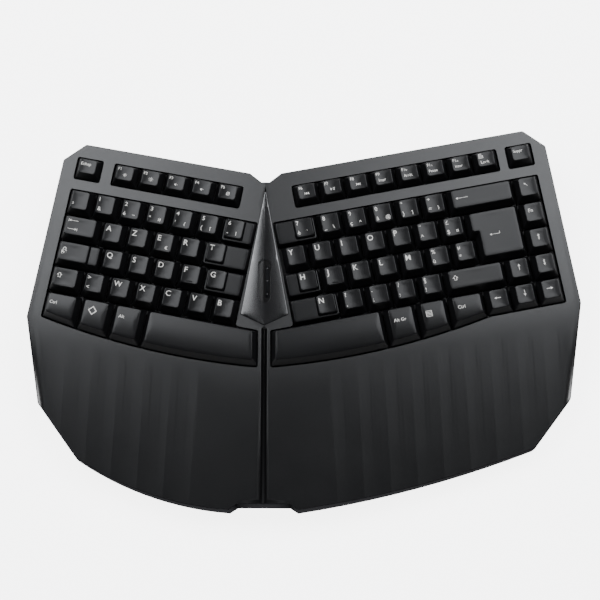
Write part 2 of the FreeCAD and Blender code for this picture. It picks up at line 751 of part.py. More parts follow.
def build_cap(index, key):
    node_name, side, start, end, row, rows, form = key
    name = f"{node_name}_{index}"
    rear, front = row_span(row, rows)
    rear = f"{rear} - Sizes.cap_gap"
    front = f"{front} + Sizes.cap_gap"
    origin = f"Sizes.{SIDE_NAME[side]}_origin"
    low_x = f"{origin} + {start} * Sizes.key_pitch + Sizes.cap_gap"
    high_x = f"{origin} + {end} * Sizes.key_pitch - Sizes.cap_gap"
    blocks = []
    if form == "stepped":
        top_end = f"{origin} + {start + 1.3} * Sizes.key_pitch"
        ledge = cap_blocks(f"{name}_ledge", side, low_x, high_x, rear, front, "Sizes.step_drop")
        blocks.append(ledge)
        high_x = top_end
    if form == "inner":
        reach = f"{side} * (Sizes.inner_edge + Sizes.cap_gap + Sizes.well_margin)"
        span = (low_x, reach) if side == LEFT else (reach, high_x)
        ledge = cap_blocks(f"{name}_ledge", side, *span, rear, front, "Sizes.step_drop", LEDGE_SLOPES)
        blocks.append(ledge)
    if form == "enter":
        upper_front = f"{row_span(row, 1)[1]} + Sizes.cap_gap"
        upper_x = f"{origin} + {start - 0.25} * Sizes.key_pitch + Sizes.cap_gap"
        blocks.append(cap_blocks(f"{name}_arm", side, upper_x, high_x, rear, upper_front))
    blocks.append(cap_blocks(name, side, low_x, high_x, rear, front))
    outer = blocks[-1][0] if len(blocks) == 1 else fuse(f"{name}_outside", [b[0] for b in blocks])
    hollow = blocks[-1][1] if len(blocks) == 1 else fuse(f"{name}_inside", [b[1] for b in blocks])
    shell = cut(f"{name}_shell", outer, hollow)
    x = (cell_x(side, start) + cell_x(side, end)) / 2
    y = (expression_value(rear) + expression_value(front)) / 2
    STEMS[side].append(Vector(x, y, 0))
    return fuse(f"{name}_cap", [shell, stem(f"{name}_stem", side, x, y)])


# Value of an expression of the sheet, read through a scratch cell.
def expression_value(expression):
    sheet.set("E1", "=" + expression.replace("Sizes.", ""))
    sheet.recompute()
    return float(sheet.get("E1"))


# Corners of a polygon whose edges are moved inward by the given amounts. The
# polygon runs anticlockwise.
def inset_polygon(points, insets, height):
    count = len(points)
    lines = []
    for i in range(count):
        start, end = points[i], points[(i + 1) % count]
        along = (end - start).normalize()
        inward = Vector(-along.y, along.x, 0)
        lines.append((start + inward * insets[i], along))
    corners = []
    for i in range(count):
        base, along = lines[i - 1]
        other, across = lines[i]
        divider = along.x * across.y - along.y * across.x
        gap = other - base
        reach = (gap.x * across.y - gap.y * across.x) / divider
        corner = base + along * reach
        corners.append(Vector(corner.x, corner.y, height))
    return corners


# A keycap of the bottom row, whose front edge follows the well.
def build_bottom_cap(node_name, side, start, end):
    gap = size("cap_gap")
    rear = size("space_rear") - gap
    slot = size("space_gap") + gap + size("well_margin")
    front_shift = gap + size("well_margin")
    steps = 4 if None in (start, end) else 1
    low_front = space_corner(side, slot).x if start is None else cell_x(side, start) + gap
    low_rear = space_edge(side, rear, slot) if start is None else low_front
    high_front = space_corner(side, slot).x if end is None else cell_x(side, end) - gap
    high_rear = space_edge(side, rear, slot) if end is None else high_front
    base = [Vector(high_rear, rear, 0), Vector(low_rear, rear, 0)]
    insets = [size("cap_rear_slope"), size("cap_side_slope")]
    for i in range(steps + 1):
        x = low_front + (high_front - low_front) * i / steps
        base.append(Vector(x, front_arc(x, side) + front_shift, 0))
        insets.append(size("cap_front_slope"))
    insets[-1] = size("cap_side_slope")
    height = size("cap_height")
    thick = size("cap_wall")
    level = [0.0] * len(base)
    outer_base = inset_polygon(base, level, -height)
    outer_top = inset_polygon(base, insets, 0)
    walls = [thick] * len(base)
    inner_base = inset_polygon(base, walls, -height)
    inner_top = inset_polygon(base, [v + thick for v in insets], -size("cap_roof"))
    shell = prismatoid(outer_base, outer_top).cut(prismatoid(inner_base, inner_top))
    x = (low_front + high_front) / 2
    y = (rear + front_arc(x, side)) / 2
    STEMS[side].append(Vector(x, y, 0))
    parts = [rod(Vector(x, y, 0), size("stem_radius"), -size("stem_length"), -size("cap_roof") / 2)]
    if steps > 1:
        parts += space_lugs(x)
    return feature(node_name, shell.multiFuse(parts), FIELD[side])


# Stabiliser of a space bar: a wire turns in two clips on the key plate, and the
# ends of its arms ride in two lugs under the bar. The arms rise by half the travel
# at rest and fall by as much when the bar is down.
WIRE_PIVOT = -size("plate_drop") + size("wire_radius") + 0.2
ARM_RISE = size("key_travel") / 2
ARM_REACH = math.sqrt(size("wire_arm") ** 2 - ARM_RISE ** 2)
PIN_LENGTH = 3.6
LUG_OFFSET = 2.0


def arm_signs():
    return (-1, 1)


def space_lugs(x):
    lugs = []
    pin_y = ARM_REACH - size("wire_front")
    pin_z = WIRE_PIVOT + ARM_RISE
    ring = size("wire_radius") + size("lug_play")
    half = ring + 1.0
    for sign in arm_signs():
        middle = x + sign * (size("wire_span") / 2 - LUG_OFFSET)
        low = pin_z - half
        corner = Vector(middle - size("lug_thickness") / 2, pin_y - half, low)
        lug = Part.makeBox(size("lug_thickness"), 2 * half, -size("cap_roof") / 2 - low, corner)
        hole_start = Vector(middle - size("lug_thickness"), pin_y, pin_z)
        hole = Part.makeCylinder(ring, 2 * size("lug_thickness"), hole_start, Vector(1, 0, 0))
        lugs.append(lug.cut(hole))
    return lugs


def space_stem_x(side):
    inner = space_corner(side, size("space_gap") + size("cap_gap") + size("well_margin")).x
    outer = cell_x(side, SPACE_COLUMN[side]) - side * size("cap_gap")
    return (inner + outer) / 2


def build_space_wire(side):
    x = space_stem_x(side)
    radius = size("wire_radius")
    half = size("wire_span") / 2
    bar_y = -size("wire_front")
    pieces = [Part.makeCylinder(radius, 2 * half, Vector(x - half, bar_y, WIRE_PIVOT), Vector(1, 0, 0))]
    for sign in arm_signs():
        corner = Vector(x + sign * half, bar_y, WIRE_PIVOT)
        tip = corner + Vector(0, ARM_REACH, ARM_RISE)
        pieces.append(Part.makeSphere(radius, corner))
        pieces.append(Part.makeSphere(radius, tip))
        pieces.append(Part.makeCylinder(radius, size("wire_arm"), corner, tip - corner))
        pieces.append(Part.makeCylinder(radius, PIN_LENGTH, tip, Vector(-sign, 0, 0)))
    wire = pieces[0].multiFuse(pieces[1:])
    return node(f"{SIDE_NAME[side]}_space_wire", feature("space_wire", wire, FIELD[side]))


# Clips that hold the wire's bar on the key plate.
CLIP_WIDTH = 4.0
CLIP_INSET = 8.0


def wire_clips(side):
    x = space_stem_x(side)
    bar_y = -size("wire_front")
    ring = size("wire_radius") + size("wire_play")
    half = ring + 1.2
    clips = []
    for sign in arm_signs():
        middle = x + sign * (size("wire_span") / 2 - CLIP_INSET)
        corner = Vector(middle - CLIP_WIDTH / 2, bar_y - half, -size("plate_drop") - 0.5)
        height = WIRE_PIVOT + half + size("plate_drop") + 0.5
        clips.append(Part.makeBox(CLIP_WIDTH, 2 * half, height, corner))
    return clips


def wire_cuts(side):
    x = space_stem_x(side)
    bar_y = -size("wire_front")
    ring = size("wire_radius") + size("wire_play")
    half = size("wire_span") / 2
    start = Vector(x - half - 2, bar_y, WIRE_PIVOT)
    cuts = [Part.makeCylinder(ring, 2 * half + 4, start, Vector(1, 0, 0))]
    low = -size("plate_drop") - size("plate_thickness") - 1
    depth = size("plate_thickness") + 2
    for sign in arm_signs():
        inner = x + sign * (half - PIN_LENGTH - 1)
        outer = x + sign * (half + 1.5)
        corner = Vector(min(inner, outer), bar_y + 1.2, low)
        cuts.append(Part.makeBox(abs(outer - inner), size("wire_arm") + 2.4, depth, corner))
    return cuts


# Builds every keycap and gathers those of a row under one node.
def build_keys():
    groups = {}
    for index, key in enumerate(KEYS):
        groups.setdefault(key[0], []).append(build_cap(index, key))
    for name, items in groups.items():
        if len(items) == 1:
            node(name, items[0])
        else:
            node(name, compound(name, items))
    for name, side, start, end in BOTTOM_KEYS:
        node(name, build_bottom_cap(name, side, start, end))


# Key plate: flat plate with a guide tube for each stem, posts for the back screws
# and tabs under the deck for the cover screws.
def build_key_plate(side):
    top = -size("plate_drop")
    bottom = top - size("plate_thickness")
    bore = size("stem_radius") + size("stem_play")
    post_end = -size("dome_sheet_drop") - size("dome_sheet_thickness") - size("membrane_thickness")
    post_end -= size("stack_gap") * 2
    plate = stack_region(side, size("plate_margin"), bottom, top)
    adds = wire_clips(side)
    cuts = wire_cuts(side)
    tube_low = bottom - size("tube_drop")
    for place in STEMS[side]:
        adds.append(rod(place, bore + size("tube_wall"), tube_low, top + size("tube_rise")))
        cuts.append(rod(place, bore, bottom - BIG / 10, top + BIG / 10))
    boss = size("stack_boss_radius")
    hole = size("stack_screw_radius") + size("screw_play")
    for place in cover_points(side):
        adds.append(rod(place, boss + 1, bottom, top))
        cuts.append(rod(place, hole, bottom - 1, top + 1))
    for place in back_points(side):
        adds.append(rod(place, boss + 1, bottom, top))
        adds.append(rod(place, boss, post_end, bottom + 0.5))
        cuts.append(rod(place, hole, post_end - 1, post_end + size("stack_screw_length")))
    shape = plate.multiFuse(adds).cut(cuts)
    return node(f"{SIDE_NAME[side]}_key_plate", feature("key_plate", shape, FIELD[side]))


# Holes through the sheets for the key plate's posts.
def post_holes(side, low, high):
    radius = size("stack_boss_radius") + size("stack_gap") * 4
    return [rod(place, radius, low - 1, high + 1) for place in back_points(side)]


# Dome sheet: a thin rubber web with a hollow dome under each stem.
def build_dome_sheet(side):
    top = -size("dome_sheet_drop")
    bottom = top - size("dome_sheet_thickness")
    crown = -size("stem_length") - size("dome_gap")
    web = stack_region(side, size("sheet_margin"), bottom, top)
    web = web.cut(post_holes(side, bottom, top))
    domes = []
    hollows = []
    wall = size("dome_wall")
    for place in STEMS[side]:
        foot = Vector(place.x, place.y, bottom)
        tall = crown - bottom
        domes.append(Part.makeCone(size("dome_radius"), size("dome_crown_radius"), tall, foot))
        inner = (size("dome_radius") - wall, size("dome_crown_radius") - wall, tall - wall)
        hollows.append(Part.makeCone(*inner, foot))
    shape = web.multiFuse(domes).cut(hollows)
    return node(f"{SIDE_NAME[side]}_dome_sheet", feature("dome_sheet", shape, FIELD[side]))


# Controller board's place and its tail connectors.
BOARD_TOP = size("board_height") + size("board_thickness")
TAIL_SOCKET = (20.0, 5.0, 3.2)
TAIL_SOCKET_X = 22.0
BOARD_Y = RIDGE_Y + size("board_middle")


def tail_socket_corner(side):
    rear = BOARD_Y + size("board_width") / 2
    x = RIDGE_X + side * TAIL_SOCKET_X - TAIL_SOCKET[0] / 2
    return Vector(x, rear - TAIL_SOCKET[1] - 1, BOARD_TOP)


# Membrane: thin printed sheet with a tail that runs down to the board.
def build_membrane(side):
    top = -size("dome_sheet_drop") - size("dome_sheet_thickness") - size("stack_gap")
    bottom = top - size("membrane_thickness")
    shape = stack_region(side, size("sheet_margin"), bottom, top)
    shape = shape.cut(post_holes(side, bottom, top))
    middle = side * size("tail_middle")
    edge = front_arc(middle, side) + size("sheet_margin")
    half = size("tail_width") / 2
    thick = size("membrane_thickness") / 2
    start = []
    for dx, dz in ((-half, -thick), (half, -thick), (half, thick), (-half, thick)):
        start.append(Vector(middle + dx, edge, (top + bottom) / 2 + dz))
    socket = tail_socket_corner(side)
    rear_face = socket.y + TAIL_SOCKET[1] + size("stack_gap")
    back = FIELD[side].inverse()
    end = []
    for dx, dz in ((-half, -thick), (half, -thick), (half, thick), (-half, thick)):
        point = Vector(socket.x + TAIL_SOCKET[0] / 2 + dx, rear_face, BOARD_TOP + TAIL_SOCKET[2] / 2 + dz)
        end.append(back.multVec(point))
    tail = Part.makeLoft([polygon_wire(start), polygon_wire(end)], True, True)
    shape = shape.fuse(tail)
    return node(f"{SIDE_NAME[side]}_membrane", feature("membrane", shape, FIELD[side]))


def back_plate_top():
    stack = size("dome_sheet_drop") + size("dome_sheet_thickness") + size("membrane_thickness")
    return -stack - size("stack_gap") * 2


# Back plate: pressed metal under the membrane, cut away where the tail leaves.
def build_back_plate(side):
    top = back_plate_top()
    bottom = top - size("back_plate_thickness")
    shape = stack_region(side, size("plate_margin"), bottom, top)
    pads = [rod(p, size("stack_boss_radius") + 1, bottom, top) for p in back_points(side)]
    hole = size("stack_screw_radius") + size("screw_play")
    holes = [rod(p, hole, bottom - 1, top + 1) for p in back_points(side)]
    middle = side * size("tail_middle")
    width = size("tail_width") + 6
    reach = front_arc(middle, side) + size("sheet_margin") + 2
    corner = Vector(middle - width / 2, reach - 12, bottom - 1)
    notch = Part.makeBox(width, 12, top - bottom + 2, corner)
    shape = shape.multiFuse(pads).cut(holes + [notch])
    return node(f"{SIDE_NAME[side]}_back_plate", feature("back_plate", shape, FIELD[side]))


# A screw with a domed cross-slot head; it points up and its head lies below.
def screw(radius, length, head_radius, head_height):
    shank = Part.makeCylinder(radius, length)
    head = Part.makeCylinder(head_radius, head_height, Vector(0, 0, -head_height))
    rim = [e for e in head.Edges if e.Vertexes[0].Z < -head_height / 2]
    head = head.makeChamfer(head_height / 3, rim)
    slot = 2.4 * head_radius / 2
    arm = head_radius / 4
    across = Part.makeBox(slot, arm, head_height / 2, Vector(-slot / 2, -arm / 2, -head_height))
    along = Part.makeBox(arm, slot, head_height / 2, Vector(-arm / 2, -slot / 2, -head_height))
    return shank.fuse(head).cut([across, along])


def build_plate_screws():
    items = []
    radius = size("stack_screw_radius")
    length = size("stack_screw_length")
    head = (size("stack_head_radius"), size("stack_head_height"))
    plate_bottom = -size("plate_drop") - size("plate_thickness")
    back_bottom = back_plate_top() - size("back_plate_thickness")
    for side in (LEFT, RIGHT):
        for points, level in ((cover_points(side), plate_bottom), (back_points(side), back_bottom)):
            for index, place in enumerate(points):
                shift = Placement(Vector(place.x, place.y, level - size("stack_gap")), Rotation())
                items.append(feature("plate_screw", screw(radius, length, *head), FIELD[side] * shift))
    return node("plate_screws", compound("plate_screws", items))


# Case screws, from the ridge origin: along the rear edge, then beside corners of the
# palm rests, by their room inward and rearward of each.
CASE_REAR_BACK = size("rear_reach") - 4.7
REAR_ROOMS = {LEFT: (20.2, 90.2), RIGHT: (21.0, 96.0, 164.0)}
PALM_ROOMS = {
    LEFT: (("palm", 15.4, 5.4), ("curve", 18.3, 12.5)),
    RIGHT: (("palm", 12.9, 4.7), ("front", 58.7, -1.7), ("curve", 67.7, 0.5)),
}
CASE_SCREWS = []
for half_side in (LEFT, RIGHT):
    reach = size(f"{SIDE_NAME[half_side]}_side_reach")
    CASE_SCREWS += [rel(half_side, reach - room, CASE_REAR_BACK) for room in REAR_ROOMS[half_side]]
    for place, room, back in PALM_ROOMS[half_side]:
        CASE_SCREWS.append(palm_point(half_side, place) + Vector(-half_side * room, back, 0))
HEAD_LEVEL = size("foot_height") + size("floor_thickness") + 0.4


def case_points():
    return [p + ORIGIN for p in CASE_SCREWS]


def build_case_screws():
    items = []
    head = (size("screw_head_radius"), size("screw_head_height"))
    for place in case_points():
        shape = screw(size("screw_radius"), size("screw_length"), *head)
        items.append(feature("case_screw", shape, Placement(place + UP * HEAD_LEVEL, Rotation())))
    return node("case_screws", compound("case_screws", items))


# Centre fascia: a kite on the ridge, following the fall of both decks.
def kite(grow):
    tip = size("fascia_tip")
    side_x = size("fascia_side_x")
    side_y = size("fascia_side_y")
    points = [
        Vector(side_x, side_y, 0),
        Vector(0, tip, 0),
        Vector(-side_x, side_y, 0),
        Vector(0, size("fascia_front"), 0),
    ]
    points = inset_polygon(points, [-grow] * 4, 0)
    return prism([p + ORIGIN for p in points], size("parting_height"), BIG / 7)


def slot_block(width, length, low, high):
    radius = width / 2
    y = RIDGE_Y + size("window_middle")
    run = length / 2 - radius
    body = Part.makeBox(width, 2 * run, high - low, Vector(RIDGE_X - radius, y - run, low))
    ends = [Part.makeCylinder(radius, high - low, Vector(RIDGE_X, y + s * run, low)) for s in (-1, 1)]
    return body.multiFuse(ends).removeSplitter()


def skin(block, high, low):
    return under_roof(block, -high).cut(under_roof(block, low))


SNAP_RADIUS = 1.3
SNAP_PLACES = (70.0, 54.0, 6.0)


def snap_rods(radius, low):
    rods = []
    for y in SNAP_PLACES:
        rods.append(rod(Vector(RIDGE_X, RIDGE_Y + y, 0), radius, low, BIG / 7))
    return rods


def build_fascia():
    play = size("fascia_play")
    body = skin(kite(-play), size("fascia_proud"), size("fascia_recess") - size("stack_gap"))
    hole = slot_block(size("window_width"), size("window_length"), 0, BIG / 7)
    pins = [under_roof(r, 0.5) for r in snap_rods(SNAP_RADIUS, snap_level())]
    shape = body.cut(hole).multiFuse(pins)
    return node("centre_fascia", feature("centre_fascia", shape))


# Lower end of the fascia's pins, under the deck.
def snap_level():
    lowest = min(plane_height(FIELD[RIGHT], RIDGE_X, RIDGE_Y + y) for y in SNAP_PLACES)
    return lowest - size("deck_drop") - size("fascia_backing") - 1.0


def build_window():
    play = size("window_play")
    block = slot_block(size("window_width") - 2 * play, size("window_length") - 2 * play, 0, BIG / 7)
    top = size("fascia_proud") - size("window_recess")
    shape = skin(block, top, size("fascia_recess") - size("stack_gap"))
    return node("indicator_window", feature("indicator_window", shape))


# Indicator lights: three small blocks on a strip under the window's slot.
def light_level():
    y = RIDGE_Y + size("window_middle")
    return plane_height(FIELD[RIGHT], RIDGE_X, y) - size("deck_drop") - size("fascia_backing")


LIGHT_STRIP = (7.0, 27.0, 1.0)


def build_lights():
    half = size("light_size") / 2
    y = RIDGE_Y + size("window_middle")
    rise = plane_height(FIELD[RIGHT], RIDGE_X, y + 1) - plane_height(FIELD[RIGHT], RIDGE_X, y)
    tilt = Rotation(Vector(1, 0, 0), math.degrees(math.atan(rise)))
    width, length, thick = LIGHT_STRIP
    shape = Part.makeBox(width, length, thick, Vector(-width / 2, -length / 2, -thick))
    for step in (-1, 0, 1):
        middle = step * size("light_pitch")
        corner = Vector(-half, middle - half, 0)
        shape = shape.fuse(Part.makeBox(2 * half, 2 * half, size("fascia_backing") / 2, corner))
    place = Placement(Vector(RIDGE_X, y, light_level() - size("light_play")), tilt)
    return node("indicator_lights", feature("indicator_lights", shape.removeSplitter(), place))


def light_slot():
    width = size("light_size") + 2 * size("light_play")
    length = 2 * size("light_pitch") + width
    y = RIDGE_Y + size("window_middle")
    corner = Vector(RIDGE_X - width / 2, y - length / 2, size("parting_height"))
    return Part.makeBox(width, length, BIG / 7, corner)


# Top cover: the shell, its well walls and bosses, less the wells, the fascia's
# recess, the centre groove and the pleats.
def build_top_cover():
    thick = size("wall")
    low = size("parting_height")
    outer = housing_block(0, 0, low)
    inner = housing_block(thick, thick, low - 1)
    shell = outer.cut(inner)
    adds = []
    cuts = []
    plate_top = -size("plate_drop")
    for side in (LEFT, RIGHT):
        grow = size("well_wall")
        adds += wells(side, grow, plate_top + size("stack_gap"), -size("deck_drop"), rounded=False)
        cuts += wells(side, 0, plate_top - 5, 20)
        for place in cover_points(side):
            boss = rod(place, size("stack_boss_radius"), plate_top + size("stack_gap"), 0)
            boss.Placement = FIELD[side]
            adds.append(boss)
            deep = -size("plate_drop") - size("plate_thickness") + size("stack_screw_length")
            hole = rod(place, size("stack_screw_radius") + size("screw_play"), plate_top - 1, deep)
            hole.Placement = FIELD[side]
            cuts.append(hole)
    for place in case_points():
        adds.append(rod(place, size("boss_radius"), low, BIG / 7))
        tip = HEAD_LEVEL + size("screw_length") + 0.4
        cuts.append(rod(place, size("screw_radius") + size("screw_play"), 0, tip))
    backing = kite(size("fascia_play"))
    adds.append(backing.cut(under_roof(backing, size("fascia_backing"))))
    tools = [a.common(outer) for a in adds]
    shell = shell.multiFuse(tools)
    recess = kite(0)
    cuts.append(recess.cut(under_roof(recess, size("fascia_recess"))))
    cuts.append(light_slot())
    cuts += snap_rods(SNAP_RADIUS + size("pin_play"), low)
    wide = size("groove_width")
    run = size("front_reach") + size("fascia_front") - 1
    corner = Vector(RIDGE_X - wide / 2, RIDGE_Y - size("front_reach") - 1, low)
    trench = Part.makeBox(wide, run, BIG / 7, corner)
    cuts.append(trench.cut(under_roof(trench, size("groove_depth"))))
    shape = shell.cut(cuts + pleats())
    return node("top_cover", feature("top_cover", shape))


# Battery bay, from the ridge origin, and what lies in it.
DOOR_TOP = size("foot_height") + size("door_thickness")
CELL_AXIS = DOOR_TOP + size("cell_play") + size("cell_radius")
BAY_ROOF = CELL_AXIS + size("cell_radius") + size("cell_play")
BAY_Y = RIDGE_Y + size("bay_middle")
BAY_LENGTH = size("cell_length") + size("nub_length") + 2 * size("contact_room")


def centred_box(x, y, length, width, low, high):
    corner = Vector(x - length / 2, y - width / 2, low)
    return Part.makeBox(length, width, high - low, corner)


def build_cells():
    items = []
    for sign in (-1, 1):
        body = cylinder("cell_body", Radius="Sizes.cell_radius", Height="Sizes.cell_length")
        whole = "Sizes.cell_length + Sizes.nub_length"
        nub = cylinder("cell_nub", Radius="Sizes.nub_radius", Height=whole)
        turn = Rotation(Vector(0, 1, 0), sign * 90)
        reach = (size("cell_length") + size("nub_length")) / 2
        start = Vector(RIDGE_X - sign * reach, BAY_Y + sign * size("cell_pitch") / 2, CELL_AXIS)
        body.Placement = Placement(start, turn)
        nub.Placement = Placement(start, turn)
        items.append(fuse("cell", [body, nub]))
    return node("battery_cells", compound("battery_cells", items))


# Contacts: a flat plate at each nub and a tapering coil, drawn as a hollow cone, at
# each flat end, each on the bay's wall.
def build_contacts():
    items = []
    reach = (size("cell_length") + size("nub_length")) / 2
    wall_x = BAY_LENGTH / 2 - size("stack_gap")
    thick = size("contact_thickness")
    plate_low = CELL_AXIS - size("cell_radius") * 0.7
    plate_high = CELL_AXIS + size("cell_radius") * 0.7
    for sign in (-1, 1):
        y = BAY_Y + sign * size("cell_pitch") / 2
        for end in (-1, 1):
            x = RIDGE_X + end * (wall_x - thick / 2)
            plate = centred_box(x, y, thick, size("cell_radius") * 1.4, plate_low, plate_high)
            length = wall_x - thick - reach - size("stack_gap")
            start = Vector(RIDGE_X + end * (wall_x - thick), y, CELL_AXIS)
            if end == sign:
                boss = Part.makeCylinder(size("nub_radius"), length, start, Vector(-end, 0, 0))
                plate = plate.fuse(boss)
            else:
                base = size("cell_radius") * 0.6
                tip = size("nub_radius")
                coil = Part.makeCone(base, tip, length, start, Vector(-end, 0, 0))
                hollow = Part.makeCone(base - thick, tip - thick, length, start, Vector(-end, 0, 0))
                plate = plate.fuse(coil.cut(hollow))
            items.append(feature("contact", plate))
    return node("battery_contacts", compound("battery_contacts", items))


# Battery door: a flat plate with a grip recess. It slides forward on the ledge round
# the bay.
GRIP = (16.0, 5.0, 0.7)
DOOR_CORNER = 2.0


def door_size():
    ledge = 2 * (size("door_ledge") - size("door_play"))
    return BAY_LENGTH + ledge, size("bay_width") + ledge


def build_door():
    length, width = door_size()
    body = doc.addObject("PartDesign::Body", "door_body")
    plane = [f for f in body.Origin.OriginFeatures if f.Role == "XY_Plane"][0]
    outline = sketch_on(body, plane, "door_outline", 0, 0, length, width)
    pad = body.newObject("PartDesign::Pad", "door_plate")
    pad.Profile = outline
    bind(pad, Length="Sizes.door_thickness")
    doc.recompute()
    upright = []
    for index, edge in enumerate(pad.Shape.Edges, start=1):
        if edge.BoundBox.ZLength > size("door_thickness") / 2:
            upright.append(f"Edge{index}")
    rounded = body.newObject("PartDesign::Fillet", "door_corners")
    rounded.Base = (pad, upright)
    rounded.Radius = DOOR_CORNER
    doc.recompute()
    grip = sketch_on(body, plane, "door_grip", 0, GRIP[1] - width / 2, GRIP[0], GRIP[1])
    pocket = body.newObject("PartDesign::Pocket", "door_grip_pocket")
    pocket.Profile = grip
    pocket.Length = GRIP[2]
    pocket.Reversed = True
    doc.recompute()
    if pocket.Shape.Volume >= rounded.Shape.Volume:
        raise RuntimeError("the door's grip cuts nothing")
    body.Placement = Placement(Vector(RIDGE_X, BAY_Y, size("foot_height")), Rotation())
    return node("battery_door", body)


# A sketch of one rectangle on a plane of the body's origin.
def sketch_on(body, plane, name, middle_x, middle_y, length, width):
    sketch = body.newObject("Sketcher::SketchObject", name)
    sketch.AttachmentSupport = (plane, [""])
    sketch.MapMode = "FlatFace"
    corners = []
    for sx, sy in ((-1, -1), (1, -1), (1, 1), (-1, 1)):
        corners.append(Vector(middle_x + sx * length / 2, middle_y + sy * width / 2, 0))
    for index in range(4):
        sketch.addGeometry(Part.LineSegment(corners[index], corners[(index + 1) % 4]), False)
    for index in range(4):
        sketch.addConstraint(Sketcher.Constraint("Coincident", index, 2, (index + 1) % 4, 1))
    return sketch


# Power switch knob on the underside.
SWITCH_Y = BAY_Y
KNOB = (4.0, 3.4)
KNOB_LOW = size("foot_height") - 0.8
KNOB_HIGH = size("foot_height") + size("floor_thickness") + 2.0


def build_switch():
    x = RIDGE_X + size("switch_x") - size("switch_travel") / 2
    block = centred_box(x, SWITCH_Y, *KNOB, KNOB_LOW, KNOB_HIGH)
    ribs = []
    for step in (-1, 0, 1):
        rib = centred_box(x + step * 1.2, SWITCH_Y, 0.5, KNOB[1] + 1, KNOB_LOW - 1, KNOB_LOW + 0.3)
        ribs.append(rib)
    return node("power_switch", feature("power_switch", block.cut(ribs)))


def switch_slot(low, high):
    play = size("switch_play")
    length = KNOB[0] + size("switch_travel") + 2 * play
    return centred_box(RIDGE_X + size("switch_x"), SWITCH_Y, length, KNOB[1] + 2 * play, low, high)


# Flip feet: each turns on its own pins in a pocket near the rear.
FLIP_X = {LEFT: RIDGE_X + size("flip_left_x"), RIGHT: RIDGE_X + size("flip_right_x")}
FLIP_Y = RIDGE_Y + size("flip_pin_y")
FLIP_Z = size("foot_height") + size("flip_thickness") / 2 + 0.3


def build_flip_foot(side):
    half = size("flip_thickness") / 2
    low_x = FLIP_X[side] - size("flip_width") / 2
    toe = FLIP_Y - size("flip_length")
    name = SIDE_NAME[side]
    plate = box(
        f"{name}_foot_plate", Length="Sizes.flip_width",
        Width="Sizes.flip_length", Height="Sizes.flip_thickness",
    )
    plate.Placement = Placement(Vector(low_x, toe, FLIP_Z - half), Rotation())
    across = Rotation(Vector(0, 1, 0), 90)
    radius = "Sizes.flip_thickness / 2"
    barrel = cylinder(f"{name}_foot_barrel", Radius=radius, Height="Sizes.flip_width")
    barrel.Placement = Placement(Vector(low_x, FLIP_Y, FLIP_Z), across)
    pin_total = "Sizes.flip_width + 2 * Sizes.flip_pin_length"
    pin = cylinder(f"{name}_foot_pin", Radius="Sizes.flip_pin_radius", Height=pin_total)
    pin.Placement = Placement(Vector(low_x - size("flip_pin_length"), FLIP_Y, FLIP_Z), across)
    whole = fuse(f"{name}_foot_block", [plate, barrel, pin])
    groove = box(f"{name}_foot_groove", Length="Sizes.flip_width - 8", Height="1.2")
    groove.Width = 3
    groove.Placement = Placement(Vector(low_x + 4, toe + 3, FLIP_Z - half - 0.2), Rotation())
    return node(f"{name}_flip_foot", cut(f"{name}_foot", whole, groove))


FLIP_POCKET_WALL = 3.2
FLIP_CLEAR = 1.0


def flip_pocket(side, grow, low, high):
    half = size("flip_width") / 2 + size("flip_side_play") + grow
    rear = FLIP_Y + size("flip_thickness") / 2 + FLIP_CLEAR + min(grow, 1.6)
    front = FLIP_Y - size("flip_length") - FLIP_CLEAR - min(grow, 1.6)
    return Part.makeBox(2 * half, rear - front, high - low, Vector(FLIP_X[side] - half, front, low))


# Rubber feet, from the ridge origin: place and turn.
PADS = [
    (Vector(-141, 96, 0), -90 + 12),
    (Vector(193, 118, 0), 90 - 12),
    (Vector(0, 93, 0), 0),
    (Vector(-128, -76, 0), -54),
    (Vector(186, -70, 0), 54),
    (Vector(0, -113, 0), 0),
]


def pad_block(place, turn, grow, low, high):
    length = size("pad_length") + 2 * grow
    width = size("pad_width") + 2 * grow
    block = Part.makeBox(length, width, high - low, Vector(-length / 2, -width / 2, low))
    block = block.makeFillet(width / 2 - 0.01, upright_edges(block, lambda p: True))
    block.Placement = Placement(place + ORIGIN, Rotation(UP, turn))
    return block


def build_pads():
    items = []
    for place, turn in PADS:
        high = size("foot_height") + size("pad_sink") - size("stack_gap")
        items.append(feature("rubber_foot", pad_block(place, turn, 0, 0, high)))
    return node("rubber_feet", compound("rubber_feet", items))


BOARD_POSTS = [(sx * 36, sy * 12) for sx in (-1, 1) for sy in (-1, 1)]


def board_point(dx, dy):
    return Vector(RIDGE_X + dx, BOARD_Y + dy, 0)


